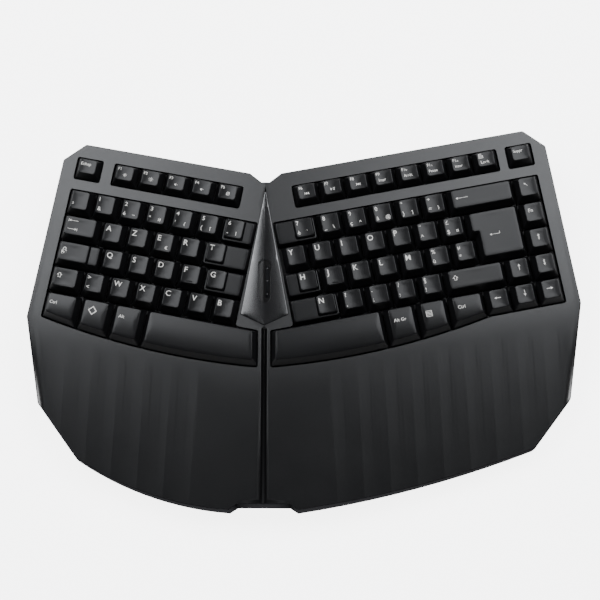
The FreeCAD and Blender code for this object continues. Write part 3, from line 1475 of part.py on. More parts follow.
# Bottom cover: tray with a lip, the battery bay, the flip feet's pockets, the
# board's posts and the screw wells.
def build_bottom_cover():
    low = size("foot_height")
    top = size("parting_height") - size("parting_gap")
    floor_top = low + size("floor_thickness")
    thick = size("wall")
    tray = footprint_block(0, low, top)
    tray = tray.makeChamfer(1.2, [e for e in tray.Edges if e.BoundBox.ZMax < low + 0.01])
    lip_inset = thick + size("lip_play") + size("lip_thickness")
    tray = tray.cut(footprint_block(lip_inset, floor_top, top + 1))
    lip_out = footprint_block(thick + size("lip_play"), floor_top, top + size("lip_height"))
    lip_in = footprint_block(lip_inset, floor_top - 1, top + 20)
    adds = [lip_out.cut(lip_in)]
    cuts = []
    wide = BAY_LENGTH + 2 * size("bay_wall")
    deep = size("bay_width") + 2 * size("bay_wall")
    adds.append(centred_box(RIDGE_X, BAY_Y, wide, deep, low, BAY_ROOF + size("bay_wall")))
    length, width = door_size()
    seat_top = DOOR_TOP + size("door_play")
    travel = size("door_travel")
    play = 2 * size("door_play")
    door_y = BAY_Y - travel / 2
    width += travel
    adds.append(centred_box(RIDGE_X, door_y, length + 4, width + 4, low, seat_top + size("bay_wall")))
    cuts.append(centred_box(RIDGE_X, BAY_Y, BAY_LENGTH, size("bay_width"), low - 1, BAY_ROOF))
    cuts.append(centred_box(RIDGE_X, door_y, length + play, width + play, low - 1, seat_top))
    cuts.append(switch_slot(low - 1, floor_top + 1))
    for side in (LEFT, RIGHT):
        roof = FLIP_Z + size("flip_thickness") / 2 + 0.6
        adds.append(flip_pocket(side, FLIP_POCKET_WALL, low, roof + 1.6))
        cuts.append(flip_pocket(side, 0, low - 1, roof))
        hole = size("flip_pin_radius") + size("flip_play")
        reach = size("flip_width") / 2 + size("flip_pin_length") + 0.3
        start = Vector(FLIP_X[side] - reach, FLIP_Y, FLIP_Z)
        cuts.append(Part.makeCylinder(hole, 2 * reach, start, Vector(1, 0, 0)))
    for dx, dy in BOARD_POSTS:
        place = board_point(dx, dy)
        adds.append(rod(place, size("post_radius"), low + 1, size("board_height")))
        adds.append(rod(place, size("pin_radius"), low + 1, BOARD_TOP + 1.0))
    for place in case_points():
        adds.append(rod(place, size("screw_head_radius") + 1.6, low, top))
        cuts.append(rod(place, size("boss_radius") + size("lip_play"), top, top + 20))
        cuts.append(rod(place, size("screw_head_radius") + 0.4, low - 1, HEAD_LEVEL))
        cuts.append(rod(place, size("screw_radius") + size("screw_play"), low, top + 5))
    for place, turn in PADS:
        cuts.append(pad_block(place, turn, size("pad_play"), low - 1, low + size("pad_sink")))
    shape = tray.multiFuse(adds).cut(cuts)
    return node("bottom_cover", feature("bottom_cover", shape))


# Controller board and the pieces soldered to it.
def build_board():
    length = size("board_length")
    width = size("board_width")
    plate = centred_box(RIDGE_X, BOARD_Y, length, width, size("board_height"), BOARD_TOP)
    holes = []
    for dx, dy in BOARD_POSTS:
        holes.append(rod(board_point(dx, dy), size("pin_radius") + size("pin_play"), 0, BIG / 7))
    return node("controller_board", feature("controller_board", plate.cut(holes)))


# Components: length, width and height, with their place on the board.
COMPONENTS = {
    "processor": (12.0, 12.0, 1.6, 0.0, -2.0),
    "radio_module": (15.0, 12.0, 2.4, 21.0, -8.0),
    "crystal": (8.0, 3.6, 3.4, -13.0, -10.0),
    "battery_socket": (9.0, 6.0, 5.0, -26.0, -8.0),
    "memory": (5.0, 6.0, 1.5, 11.0, 6.0),
}


def build_components():
    items = []
    for name, (length, width, height, dx, dy) in COMPONENTS.items():
        place = board_point(dx, dy)
        low = BOARD_TOP + size("stack_gap")
        items.append(feature(name, centred_box(place.x, place.y, length, width, low, low + height)))
    for side in (LEFT, RIGHT):
        corner = tail_socket_corner(side)
        items.append(feature("tail_socket", Part.makeBox(*TAIL_SOCKET, corner + UP * size("stack_gap"))))
    can_low = size("foot_height") + size("floor_thickness") + size("stack_gap")
    can = centred_box(RIDGE_X + size("switch_x"), SWITCH_Y, 13, 7, can_low, KNOB_HIGH + 1.5)
    items.append(feature("switch_body", can.cut(switch_slot(0, KNOB_HIGH + size("switch_play")))))
    return node("board_components", compound("board_components", items))


build_keys()
for side in (LEFT, RIGHT):
    build_key_plate(side)
    build_dome_sheet(side)
    build_membrane(side)
    build_back_plate(side)
    build_space_wire(side)
    build_flip_foot(side)
build_top_cover()
build_bottom_cover()
build_fascia()
build_window()
build_lights()
build_plate_screws()
build_case_screws()
build_cells()
build_contacts()
build_door()
build_switch()
build_pads()
build_board()
build_components()
doc.recompute()

for item in doc.Objects:
    if "Invalid" in item.State or "Error" in item.State:
        raise RuntimeError(f"{item.Label} did not recompute: {item.State}")
for name, item in NODES.items():
    if item.Shape.isNull() or not item.Shape.isValid():
        raise RuntimeError(f"{name} has no valid shape")

os.makedirs("parts", exist_ok=True)
for name, item in NODES.items():
    item.Shape.exportStep(f"parts/{name}.step")
    print(name, len(item.Shape.Solids), round(item.Shape.Volume, 1))
print(len(NODES), "nodes")
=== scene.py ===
# Split ergonomic keyboard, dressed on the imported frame. Sizes are in millimetres in
# each section and become metres where a mesh is made.
import math

import bpy
import numpy as np
from mathutils import Matrix, Vector
from mathutils.geometry import delaunay_2d_cdt


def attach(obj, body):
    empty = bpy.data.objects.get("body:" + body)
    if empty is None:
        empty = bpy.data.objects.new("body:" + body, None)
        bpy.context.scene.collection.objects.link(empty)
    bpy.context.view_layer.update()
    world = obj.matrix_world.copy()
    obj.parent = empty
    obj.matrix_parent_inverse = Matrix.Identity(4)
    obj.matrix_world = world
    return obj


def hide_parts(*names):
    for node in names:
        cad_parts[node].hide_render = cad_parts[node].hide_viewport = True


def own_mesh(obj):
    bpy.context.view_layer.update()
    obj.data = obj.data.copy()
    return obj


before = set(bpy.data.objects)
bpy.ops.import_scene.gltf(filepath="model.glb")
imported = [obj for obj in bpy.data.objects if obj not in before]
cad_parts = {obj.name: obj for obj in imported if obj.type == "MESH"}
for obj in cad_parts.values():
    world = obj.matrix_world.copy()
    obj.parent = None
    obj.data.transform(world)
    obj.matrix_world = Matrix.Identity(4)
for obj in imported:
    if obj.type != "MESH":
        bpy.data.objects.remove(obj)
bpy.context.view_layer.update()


# Camera. It stands in front of the keyboard and high above it, as the photograph's
# does, with a long lens that is turned a little to the right.
def add_object(name, data):
    item = bpy.data.objects.new(name, data)
    bpy.context.scene.collection.objects.link(item)
    return item


lens = bpy.data.cameras.new("camera")
lens.sensor_width = 36
lens.lens = 120
lens.clip_end = 20
camera = add_object("camera", lens)
camera.location = (0.03066, -0.34673, 1.4061)
camera.rotation_euler = [math.radians(angle) for angle in (14.6088, 1.2817, 0.3775)]
bpy.context.scene.camera = camera


# Studio. A plain pale floor under the rubber feet, and two large soft boxes that hang
# level behind it, left and right. The gap between them stays dark in glossy surfaces.
SKY_STRENGTH = 0.06
FLOOR_GLOW = 5.0


def soft_box(name, place, size, power):
    lamp = bpy.data.lights.new(name, "AREA")
    lamp.shape = "RECTANGLE"
    lamp.size, lamp.size_y = size
    lamp.energy = power
    lamp.color = (0.94, 0.965, 1.0)
    item = add_object(name, lamp)
    item.location = place
    item.visible_camera = False


def feed(tree, socket, value):
    if isinstance(value, bpy.types.NodeSocket):
        tree.links.new(value, socket)
    else:
        socket.default_value = value


# A node with its settings, and its inputs set or linked. Spaces are underscores here.
def add_node(tree, kind, settings=None, **inputs):
    node = tree.nodes.new(kind)
    for label, value in (settings or {}).items():
        setattr(node, label, value)
    for label, value in inputs.items():
        feed(tree, node.inputs[label.replace("_", " ")], value)
    return node


def noise(tree, vector, scale, detail):
    kind = "ShaderNodeTexNoise"
    return add_node(tree, kind, Vector=vector, Scale=scale, Detail=detail).outputs["Fac"]


def arithmetic(tree, operation, first, second=0.0):
    node = add_node(tree, "ShaderNodeMath", {"operation": operation})
    feed(tree, node.inputs[0], first)
    feed(tree, node.inputs[1], second)
    return node.outputs[0]


# A material while it is put together. Its place is the point on the piece.
class Paint:
    def __init__(self, name, **values):
        self.material = bpy.data.materials.new(name)
        self.material.use_nodes = True
        self.tree = self.material.node_tree
        self.shader = self.tree.nodes["Principled BSDF"]
        self.place = self.tree.nodes.new("ShaderNodeTexCoord").outputs["Object"]
        for label, value in values.items():
            self.set(label, value)

    def set(self, label, value):
        feed(self.tree, self.shader.inputs[label.replace("_", " ")], value)

    def sum(self, operation, first, second=0.0):
        return arithmetic(self.tree, operation, first, second)

    def noise(self, scale, detail, vector=None):
        return noise(self.tree, vector or self.place, scale, detail)

    def cells(self, scale, feature="F1", output="Distance"):
        node = add_node(self.tree, "ShaderNodeTexVoronoi", {"feature": feature},
                        Scale=scale, Vector=self.place)
        return node.outputs[output]

    def group(self, tree, **inputs):
        node = add_node(self.tree, "ShaderNodeGroup", {"node_tree": tree},
                        Vector=self.place, **inputs)
        return node.outputs

    def mapped(self, **inputs):
        node = add_node(self.tree, "ShaderNodeMapping", Vector=self.place, **inputs)
        return node.outputs["Vector"]

    def parts(self, vector=None):
        node = add_node(self.tree, "ShaderNodeSeparateXYZ", Vector=vector or self.place)
        return node.outputs

    def blend(self, factor, first, second):
        ends = [(*end, 1) if isinstance(end, tuple) else end for end in (first, second)]
        node = add_node(self.tree, "ShaderNodeMix", {"data_type": "RGBA"},
                        Factor=factor, A=ends[0], B=ends[1])
        return node.outputs["Result"]

    def relief(self, height, strength, depth):
        node = add_node(self.tree, "ShaderNodeBump", Strength=strength,
                        Distance=depth / 1000, Height=height)
        self.set("Normal", node.outputs["Normal"])

    # The usual end of a material: its colour, its range of roughness and its relief.
    def finish(self, colour, rough, *relief):
        self.set("Base_Color", colour)
        touch = self.group(HANDLING, Lowest=rough[0], Highest=rough[1])
        self.set("Roughness", touch["Roughness"])
        if relief:
            self.relief(*relief)
        return self.material


soft_box("left_soft_box", (-0.85, 0.68, 1.3), (1.1, 1.0), 30)
soft_box("right_soft_box", (0.813, 0.68, 1.3), (1.155, 1.0), 29)

sky = bpy.data.worlds.new("studio")
sky.use_nodes = True
sky.node_tree.nodes["Background"].inputs["Color"].default_value = (1.0, 1.0, 1.0, 1.0)
sky.node_tree.nodes["Background"].inputs["Strength"].default_value = SKY_STRENGTH
bpy.context.scene.world = sky

floor_mesh = bpy.data.meshes.new("floor")
floor_mesh.from_pydata([(-4, -4, 0), (4, -4, 0), (4, 4, 0), (-4, 4, 0)], [], [(0, 1, 2, 3)])
floor_paint = Paint("floor_paint", Base_Color=(0.9, 0.9, 0.9, 1), Roughness=0.8,
                    Emission_Color=(1, 1, 1, 1), Emission_Strength=FLOOR_GLOW)
floor_mesh.materials.append(floor_paint.material)
add_object("floor", floor_mesh)


# Bottom cover: an injection-moulded tray of black ABS with a spark-eroded surface. It
# carries the board, the battery bay and the pockets of the flip feet.
def add_socket(tree, label, way, kind, value=None):
    kind = "NodeSocket" + kind
    socket = tree.interface.new_socket(label, in_out=way, socket_type=kind)
    if value is not None:
        socket.default_value = value
    return socket.identifier


def shader_group(name, inputs, outputs):
    tree = bpy.data.node_groups.new(name, "ShaderNodeTree")
    add_socket(tree, "Vector", "INPUT", "Vector")
    for label, value in inputs:
        add_socket(tree, label, "INPUT", "Float", value)
    for label in outputs:
        add_socket(tree, label, "OUTPUT", "Float")
    given = tree.nodes.new("NodeGroupInput").outputs
    return tree, given, tree.nodes.new("NodeGroupOutput").inputs


# Fine pits of a spark-eroded mould with broader unevenness under them.
def moulded_grain():
    tree, given, result = shader_group(
        "moulded_grain", [("Pits per Metre", 3000.0)], ["Height", "Tone"])
    fine = noise(tree, given["Vector"], given["Pits per Metre"], 2.0)
    broad_scale = arithmetic(tree, "MULTIPLY", given["Pits per Metre"], 0.22)
    broad = noise(tree, given["Vector"], broad_scale, 1.0)
    height = arithmetic(tree, "ADD", fine, arithmetic(tree, "MULTIPLY", broad, 0.5))
    feed(tree, result["Height"], height)
    feed(tree, result["Tone"], broad)
    return tree


# Faint dullness and sheen that hands and cleaning leave on plastic.
def handling():
    tree, given, result = shader_group(
        "handling", [("Lowest", 0.4), ("Highest", 0.5)], ["Roughness"])
    cloud = noise(tree, given["Vector"], 38.0, 3.0)
    spread = arithmetic(tree, "SUBTRACT", given["Highest"], given["Lowest"])
    rough = arithmetic(tree, "MULTIPLY", cloud, spread)
    feed(tree, result["Roughness"], arithmetic(tree, "ADD", rough, given["Lowest"]))
    return tree


GRAIN = moulded_grain()
HANDLING = handling()


# Moulded plastic: its two tones, its range of roughness and its grain.
def plastic(name, dark, light, rough, pits, depth, specular=0.5):
    paint = Paint(name, Specular_IOR_Level=specular)
    grain = paint.group(GRAIN, Pits_per_Metre=pits)
    colour = paint.blend(grain["Tone"], dark, light)
    return paint.finish(colour, rough, grain["Height"], 0.6, depth)


def dress(paint, *nodes):
    for node in nodes:
        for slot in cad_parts[node].material_slots:
            slot.material = paint


DULL_BLACK = (0.008, 0.008, 0.0088)
TRAY_GREY = (0.014, 0.014, 0.015)
dress(plastic("tray_plastic", DULL_BLACK, TRAY_GREY, (0.5, 0.62), 1500, 0.08, 0.0),
      "bottom_cover")


# Rubber feet: dull black rubber pads stuck in recesses of the underside. Their pattern
# is a fine moulded leather grain, and their faces are a little dusty.
rubber = Paint("foot_rubber", Specular_IOR_Level=0.3)
dusty = rubber.blend(rubber.noise(420.0, 4.0), (0.012, 0.012, 0.012), (0.035, 0.034, 0.032))
leather = rubber.cells(900.0, "SMOOTH_F1")
dress(rubber.finish(dusty, (0.72, 0.9), leather, 0.5, 0.08), "rubber_feet")


# Battery contacts: nickel-plated steel plates and springs. The plating is bright, with
# rolling marks along the plates and slight stains.
def metal(name, dark, light, rough, stretch, lines):
    paint = Paint(name, Metallic=1.0)
    marks = paint.noise(lines, 3.0, paint.mapped(Scale=stretch))
    return paint.finish(paint.blend(marks, dark, light), rough, marks, 0.3, 0.01)


dress(metal("contact_nickel", (0.62, 0.59, 0.53), (0.78, 0.76, 0.7), (0.2, 0.34),
            (1, 1, 0.05), 2400.0), "battery_contacts")


# Battery cells: two steel cans in printed foil jackets, grey with a copper band at the
# raised pole's end. The ends are bare bright steel.
BAY_MIDDLE = (-0.02734, 0.03777)
JACKET_END, BAND_START, LINE_PLACE, LINE_HALF = 0.0243, 0.011, 0.0095, 0.0006
jacket = Paint("cell_jacket")
parts = jacket.parts()
way = jacket.sum("SIGN", jacket.sum("SUBTRACT", parts["Y"], BAY_MIDDLE[1]))
along = jacket.sum("MULTIPLY", jacket.sum("SUBTRACT", parts["X"], BAY_MIDDLE[0]), way)
print_grain = jacket.noise(1600.0, 2.0)
grey = jacket.blend(print_grain, (0.045, 0.047, 0.05), (0.06, 0.062, 0.066))
copper = jacket.blend(print_grain, (0.42, 0.2, 0.09), (0.5, 0.25, 0.12))
steel = jacket.blend(print_grain, (0.6, 0.6, 0.59), (0.7, 0.7, 0.69))
band = jacket.sum("GREATER_THAN", along, BAND_START)
line = jacket.sum("COMPARE", along, LINE_PLACE)
line.node.inputs[2].default_value = LINE_HALF
colour = jacket.blend(line, jacket.blend(band, grey, copper), (0.75, 0.75, 0.76))
bare = jacket.sum("GREATER_THAN", jacket.sum("ABSOLUTE", along), JACKET_END)
jacket.set("Metallic", jacket.sum("MAXIMUM", bare, band))
dress(jacket.finish(jacket.blend(bare, colour, steel), (0.22, 0.32),
                    jacket.noise(700.0, 2.0), 0.2, 0.02), "battery_cells")


# Battery door: a moulded cover with a thumb recess. Fine ribs for the thumb run across
# its front part, and they end before its sides.
RIB_PITCH, FIRST_RIB, RIBS_MIDDLE = 0.0016, 0.0185, 0.03
RIBS_HALF_WIDTH, RIBS_HALF_LENGTH = 0.012, 0.0044
door = Paint("door_plastic", Specular_IOR_Level=0.3)
grain = door.group(GRAIN, Pits_per_Metre=1900)
parts = door.parts()
x = door.sum("SUBTRACT", parts["X"], BAY_MIDDLE[0])
y = door.sum("SUBTRACT", parts["Y"], FIRST_RIB)
ribs = door.sum("SINE", door.sum("MULTIPLY", y, 2 * math.pi / RIB_PITCH))
wide = door.sum("LESS_THAN", door.sum("ABSOLUTE", x), RIBS_HALF_WIDTH)
reach = door.sum("ABSOLUTE", door.sum("SUBTRACT", parts["Y"], RIBS_MIDDLE))
deep = door.sum("LESS_THAN", reach, RIBS_HALF_LENGTH)
ribs = door.sum("MULTIPLY", ribs, door.sum("MULTIPLY", wide, deep))
height = door.sum("ADD", door.sum("MULTIPLY", grain["Height"], 0.06), ribs)
colour = door.blend(grain["Tone"], (0.005, 0.005, 0.0055), (0.009, 0.009, 0.0095))
dress(door.finish(colour, (0.5, 0.62), height, 0.7, 0.3), "battery_door")


# Controller board: green solder mask over copper tracks on glass-fibre board, with the
# bare board's yellow edges and rows of plated holes.
board = Paint("board_mask", Coat_Weight=0.4)
tracks = add_node(board.tree, "ShaderNodeTexBrick", {"offset": 0.37}, Scale=260.0,
                  Mortar_Size=0.09, Brick_Width=1.7, Row_Height=0.31, Vector=board.place)
tracks = tracks.outputs["Fac"]
mask = board.blend(board.noise(90.0, 2.0), (0.004, 0.05, 0.02), (0.006, 0.075, 0.03))
green = board.blend(tracks, mask, (0.012, 0.16, 0.06))
holes = board.sum("LESS_THAN", board.cells(210.0), 0.1)
green = board.blend(holes, green, (0.55, 0.5, 0.4))
facing = board.parts(add_node(board.tree, "ShaderNodeNewGeometry").outputs["Normal"])
level = board.sum("GREATER_THAN", board.sum("ABSOLUTE", facing["Z"]), 0.5)
bare = board.blend(board.noise(3000.0, 2.0), (0.25, 0.2, 0.09), (0.38, 0.31, 0.15))
dress(board.finish(board.blend(level, bare, green), (0.28, 0.4), tracks, 0.4, 0.03),
      "controller_board")


# Board components: the processor, radio module, crystal, sockets of the tails and the
# slide switch's housing, moulded in dull black epoxy with a faint flow pattern.
epoxy = Paint("component_epoxy", Specular_IOR_Level=0.4)
flow = epoxy.noise(900.0, 4.0)
colour = epoxy.blend(flow, (0.01, 0.01, 0.011), (0.022, 0.022, 0.023))
height = epoxy.sum("ADD", flow, epoxy.cells(2600.0))
dress(epoxy.finish(colour, (0.45, 0.6), height, 0.4, 0.03), "board_components")


# Power switch: a small moulded knob with ribs for a fingertip, a shade lighter than the
# tray and a little glossy where it is used.
dress(plastic("switch_plastic", (0.02, 0.02, 0.021), (0.035, 0.035, 0.036), (0.3, 0.45),
              3200, 0.03), "power_switch")


# Flip feet: moulded feet of the same plastic as the tray with a coarser grain on their
# faces, worn a little shiny at the edge that stands on the desk.
dress(plastic("flip_foot_plastic", (0.006, 0.006, 0.0065), (0.011, 0.011, 0.0115),
              (0.42, 0.55), 1400, 0.06), "left_flip_foot", "right_flip_foot")


# Indicator lights: small clear epoxy bodies on a strip under the window, milky white
# when they are off, with a pale yellow phosphor spot in the middle of each.
lamp = Paint("lamp_epoxy", Coat_Weight=0.5)
colour = lamp.blend(lamp.cells(110.0), (0.75, 0.68, 0.42), (0.8, 0.8, 0.78))
dress(lamp.finish(colour, (0.15, 0.3), lamp.noise(800.0, 2.0), 0.2, 0.02), "indicator_lights")


# Back plates: zinc-coated sheet steel that closes each key stack from below. The coat
# shows its crystals as pale and dark flakes.
zinc = Paint("zinc_coat", Metallic=1.0)
flakes = zinc.parts(zinc.cells(260.0, "F1", "Color"))
mixed = zinc.sum("MULTIPLY", flakes["X"], zinc.noise(700.0, 3.0))
zinc.set("Base_Color", zinc.blend(mixed, (0.4, 0.41, 0.43), (0.72, 0.73, 0.75)))
zinc.set("Roughness", zinc.sum("ADD", zinc.sum("MULTIPLY", flakes["Y"], 0.14), 0.3))
zinc.relief(flakes["X"], 0.15, 0.01)
dress(zinc.material, "left_back_plate", "right_back_plate")


# Contact membranes: clear polyester film with printed silver tracks in two directions
# and a round silver pad under each key.
film = Paint("printed_film", Coat_Weight=0.3)
tracks = add_node(film.tree, "ShaderNodeTexBrick", Scale=105.0, Mortar_Size=0.06,
                  Brick_Width=2.0, Row_Height=0.5,
                  Vector=film.mapped(Rotation=(0.0, 0.0, 0.2))).outputs["Fac"]
clear = film.blend(film.noise(60.0, 3.0), (0.5, 0.53, 0.5), (0.6, 0.63, 0.6))
silver = film.blend(film.noise(2000.0, 3.0), (0.3, 0.3, 0.31), (0.42, 0.42, 0.43))
dress(film.finish(film.blend(tracks, clear, silver), (0.14, 0.26), tracks, 0.3, 0.02),
      "left_membrane", "right_membrane")


# Dome sheets: one moulded silicone web per half, with a hollow dome under each stem that
# buckles when the key is pressed. The web lies on the membrane, and the domes of keys
# that share a joint are one piece here.
LEFT, RIGHT = -1, 1
RIDGE = Vector((-27.34, -7.234, 45.0))
TILT, SPLAY = math.radians(4), math.radians(11.5)
PITCH = 19.05
FIRST_COLUMN = {LEFT: -158.4, RIGHT: -102.05}
FIRST_ROW, TOP_ROW = 69.5, (93.5, 77.3)
FRONT_ROW, FRONT_LINE, FRONT_RADIUS, FRONT_MIDDLE = -6.7, -35.6, 560.0, 56.0
CENTRE_GAP = 4.7
CAP_GAP, INNER_GAP = 0.45, 0.65
STEP_START = 1.43
SHARP = 40
WELL_REAR, STRIP_REAR, WELL_ROOM = 69.7, 93.9, 0.2
WELL_INNER = 19.95
ARROWS_FRONT = -25.95
STRIP = {LEFT: (1.45, 6.45), RIGHT: (7.37, 15.25)}
SINGLE = {LEFT: (0, 1), RIGHT: (15.6, 16.6)}
SHEET_GROW, SHEET_LOW, SHEET_TOP = 1.2, -17.5, -17.0
DOME_FOOT, DOME_HEIGHT = -17.45, 3.65
BACK_SCREW_HOLE = 3.6
silicone = Paint("dome_silicone", Specular_IOR_Level=0.35, Subsurface_Weight=0.1)
tone = silicone.blend(silicone.noise(120.0, 3.0), (0.3, 0.31, 0.32), (0.42, 0.43, 0.44))
SILICONE = silicone.finish(tone, (0.4, 0.55), silicone.noise(1500.0, 2.0), 0.3, 0.02)


def field_matrix(side):
    turn = Matrix.Rotation(TILT, 4, "X") @ Matrix.Rotation(SPLAY * side, 4, "Z")
    turn = turn @ Matrix.Rotation(TILT * side, 4, "Y")
    return Matrix.Scale(0.001, 4) @ Matrix.Translation(RIDGE) @ turn


FIELD = {LEFT: field_matrix(LEFT), RIGHT: field_matrix(RIGHT)}
FIELD_TURN = {side: (Matrix.Scale(1000, 4) @ FIELD[side]).to_3x3() for side in FIELD}


# Vertices and faces of a piece while it is put together, in millimetres.
class Shape:
    def __init__(self):
        self.points = []
        self.faces = []

    def add_ring(self, ring):
        start = len(self.points)
        self.points += ring
        return list(range(start, start + len(ring)))

    def add_shell(self, points, faces):
        start = len(self.points)
        self.points += points
        self.faces += [tuple(start + i for i in face) for face in faces]

    # Side faces between rings that are stacked upward.
    def skin(self, *rings):
        for low, high in zip(rings, rings[1:]):
            for i, j in zip(range(len(low)), [*range(1, len(low)), 0]):
                self.faces.append((low[i], low[j], high[j], high[i]))

    # Faces across a closed ring, with inner points that lie at a height over the plan.
    def fill(self, ring, inner, height):
        edge = [Vector(self.points[i][:2]) for i in ring]
        edge_face = [list(range(len(edge)))]
        made = delaunay_2d_cdt(edge + inner, [], edge_face, 1, 1e-5)
        index = []
        for spot, origin in zip(made[0], made[3]):
            if origin and origin[0] < len(edge):
                index.append(ring[origin[0]])
            else:
                index.append(len(self.points))
                self.points.append((*spot, height(*spot)))
        self.faces += [tuple(index[i] for i in face) for face in made[2]]

    def object(self, name, place, paint, sharp_over=None):
        mesh = bpy.data.meshes.new(name)
        mesh.from_pydata([place @ Vector(p) for p in self.points], [], self.faces)
        mesh.polygons.foreach_set("use_smooth", [True] * len(mesh.polygons))
        mesh.materials.append(paint)
        mesh.update()
        if sharp_over:
            mesh.set_sharp_from_angle(angle=math.radians(sharp_over))
        return add_object(name, mesh)


# Corners of a polygon, anticlockwise, whose edges are moved inward.
def inset(corners, amounts):
    moved_corners = []
    for i in range(len(corners)):
        here = Vector(corners[i])
        before = (here - Vector(corners[i - 1])).normalized()
        after = (Vector(corners[(i + 1) % len(corners)]) - here).normalized()
        spread = before.x * after.y - before.y * after.x
        other = here + Vector((-after.y, after.x)) * amounts[i]
        if abs(spread) < 1e-6:
            moved_corners.append(other)
            continue
        base = here + Vector((-before.y, before.x)) * amounts[i - 1]
        gap = other - base
        moved_corners.append(base + before * ((gap.x * after.y - gap.y * after.x) / spread))
    return moved_corners


# Which of many points lie inside a ring.
def within(ring, points):
    odd = np.zeros(len(points), bool)
    x, y = points[:, 0], points[:, 1]
    for a, b in zip(ring, list(ring[1:]) + [ring[0]]):
        if a[1] == b[1]:
            continue
        crosses = (a[1] > y) != (b[1] > y)
        odd ^= crosses & (x < a[0] + (b[0] - a[0]) * (y - a[1]) / (b[1] - a[1]))
    return odd


# Middle and half size of the box round some corners.
def extent(corners):
    xs, ys = zip(*(c[:2] for c in corners))
    middle = Vector(((min(xs) + max(xs)) / 2, (min(ys) + max(ys)) / 2))
    return middle, Vector(((max(xs) - min(xs)) / 2, (max(ys) - min(ys)) / 2))


def circle(x, y, radius, steps=20):
    angles = [2 * math.pi * i / steps for i in range(steps)]
    return [(x + radius * math.cos(a), y + radius * math.sin(a)) for a in angles]


def cell_x(side, column):
    return FIRST_COLUMN[side] + PITCH * column


def row_edges(row, rows=1):
    if row == 0:
        return TOP_ROW
    return FIRST_ROW - PITCH * (row - 1), FIRST_ROW - PITCH * (row - 1 + rows)


def rectangle(left, right, rear, front):
    return [(right, rear), (left, rear), (left, front), (right, front)]


# A run of caps one column wide. "A" is a large letter, "E€" has a second mark at the
# lower right, and "2 é ~" has an upper, a lower and a lower right mark. Each mark has
# its place right and forward of the top's rear left corner, and its height.
def run(start, *texts):
    caps = []
    for i, text in enumerate(texts):
        parts, places = text, ((1.2, 5.6, 3.8), (7.4, 11.4, 2.4))
        if " " in text:
            parts = text.split(" ")
            places = (1.1, 4.4, 2.8), (1.1, 11.2, 2.8), (7.6, 11.2, 2.6)
        marks = [(part, *place) for part, place in zip(parts, places)]
        caps.append((start + i, start + i + 1, marks))
    return caps


def function_run(number, start, width, *signs):
    return [(start + width * i, start + width * (i + 1),
             [(f"F{number + i}", 0.9, 3.2, 2.0), (sign, place, 7.6, height)])
            for i, (sign, place, height) in enumerate(signs)]


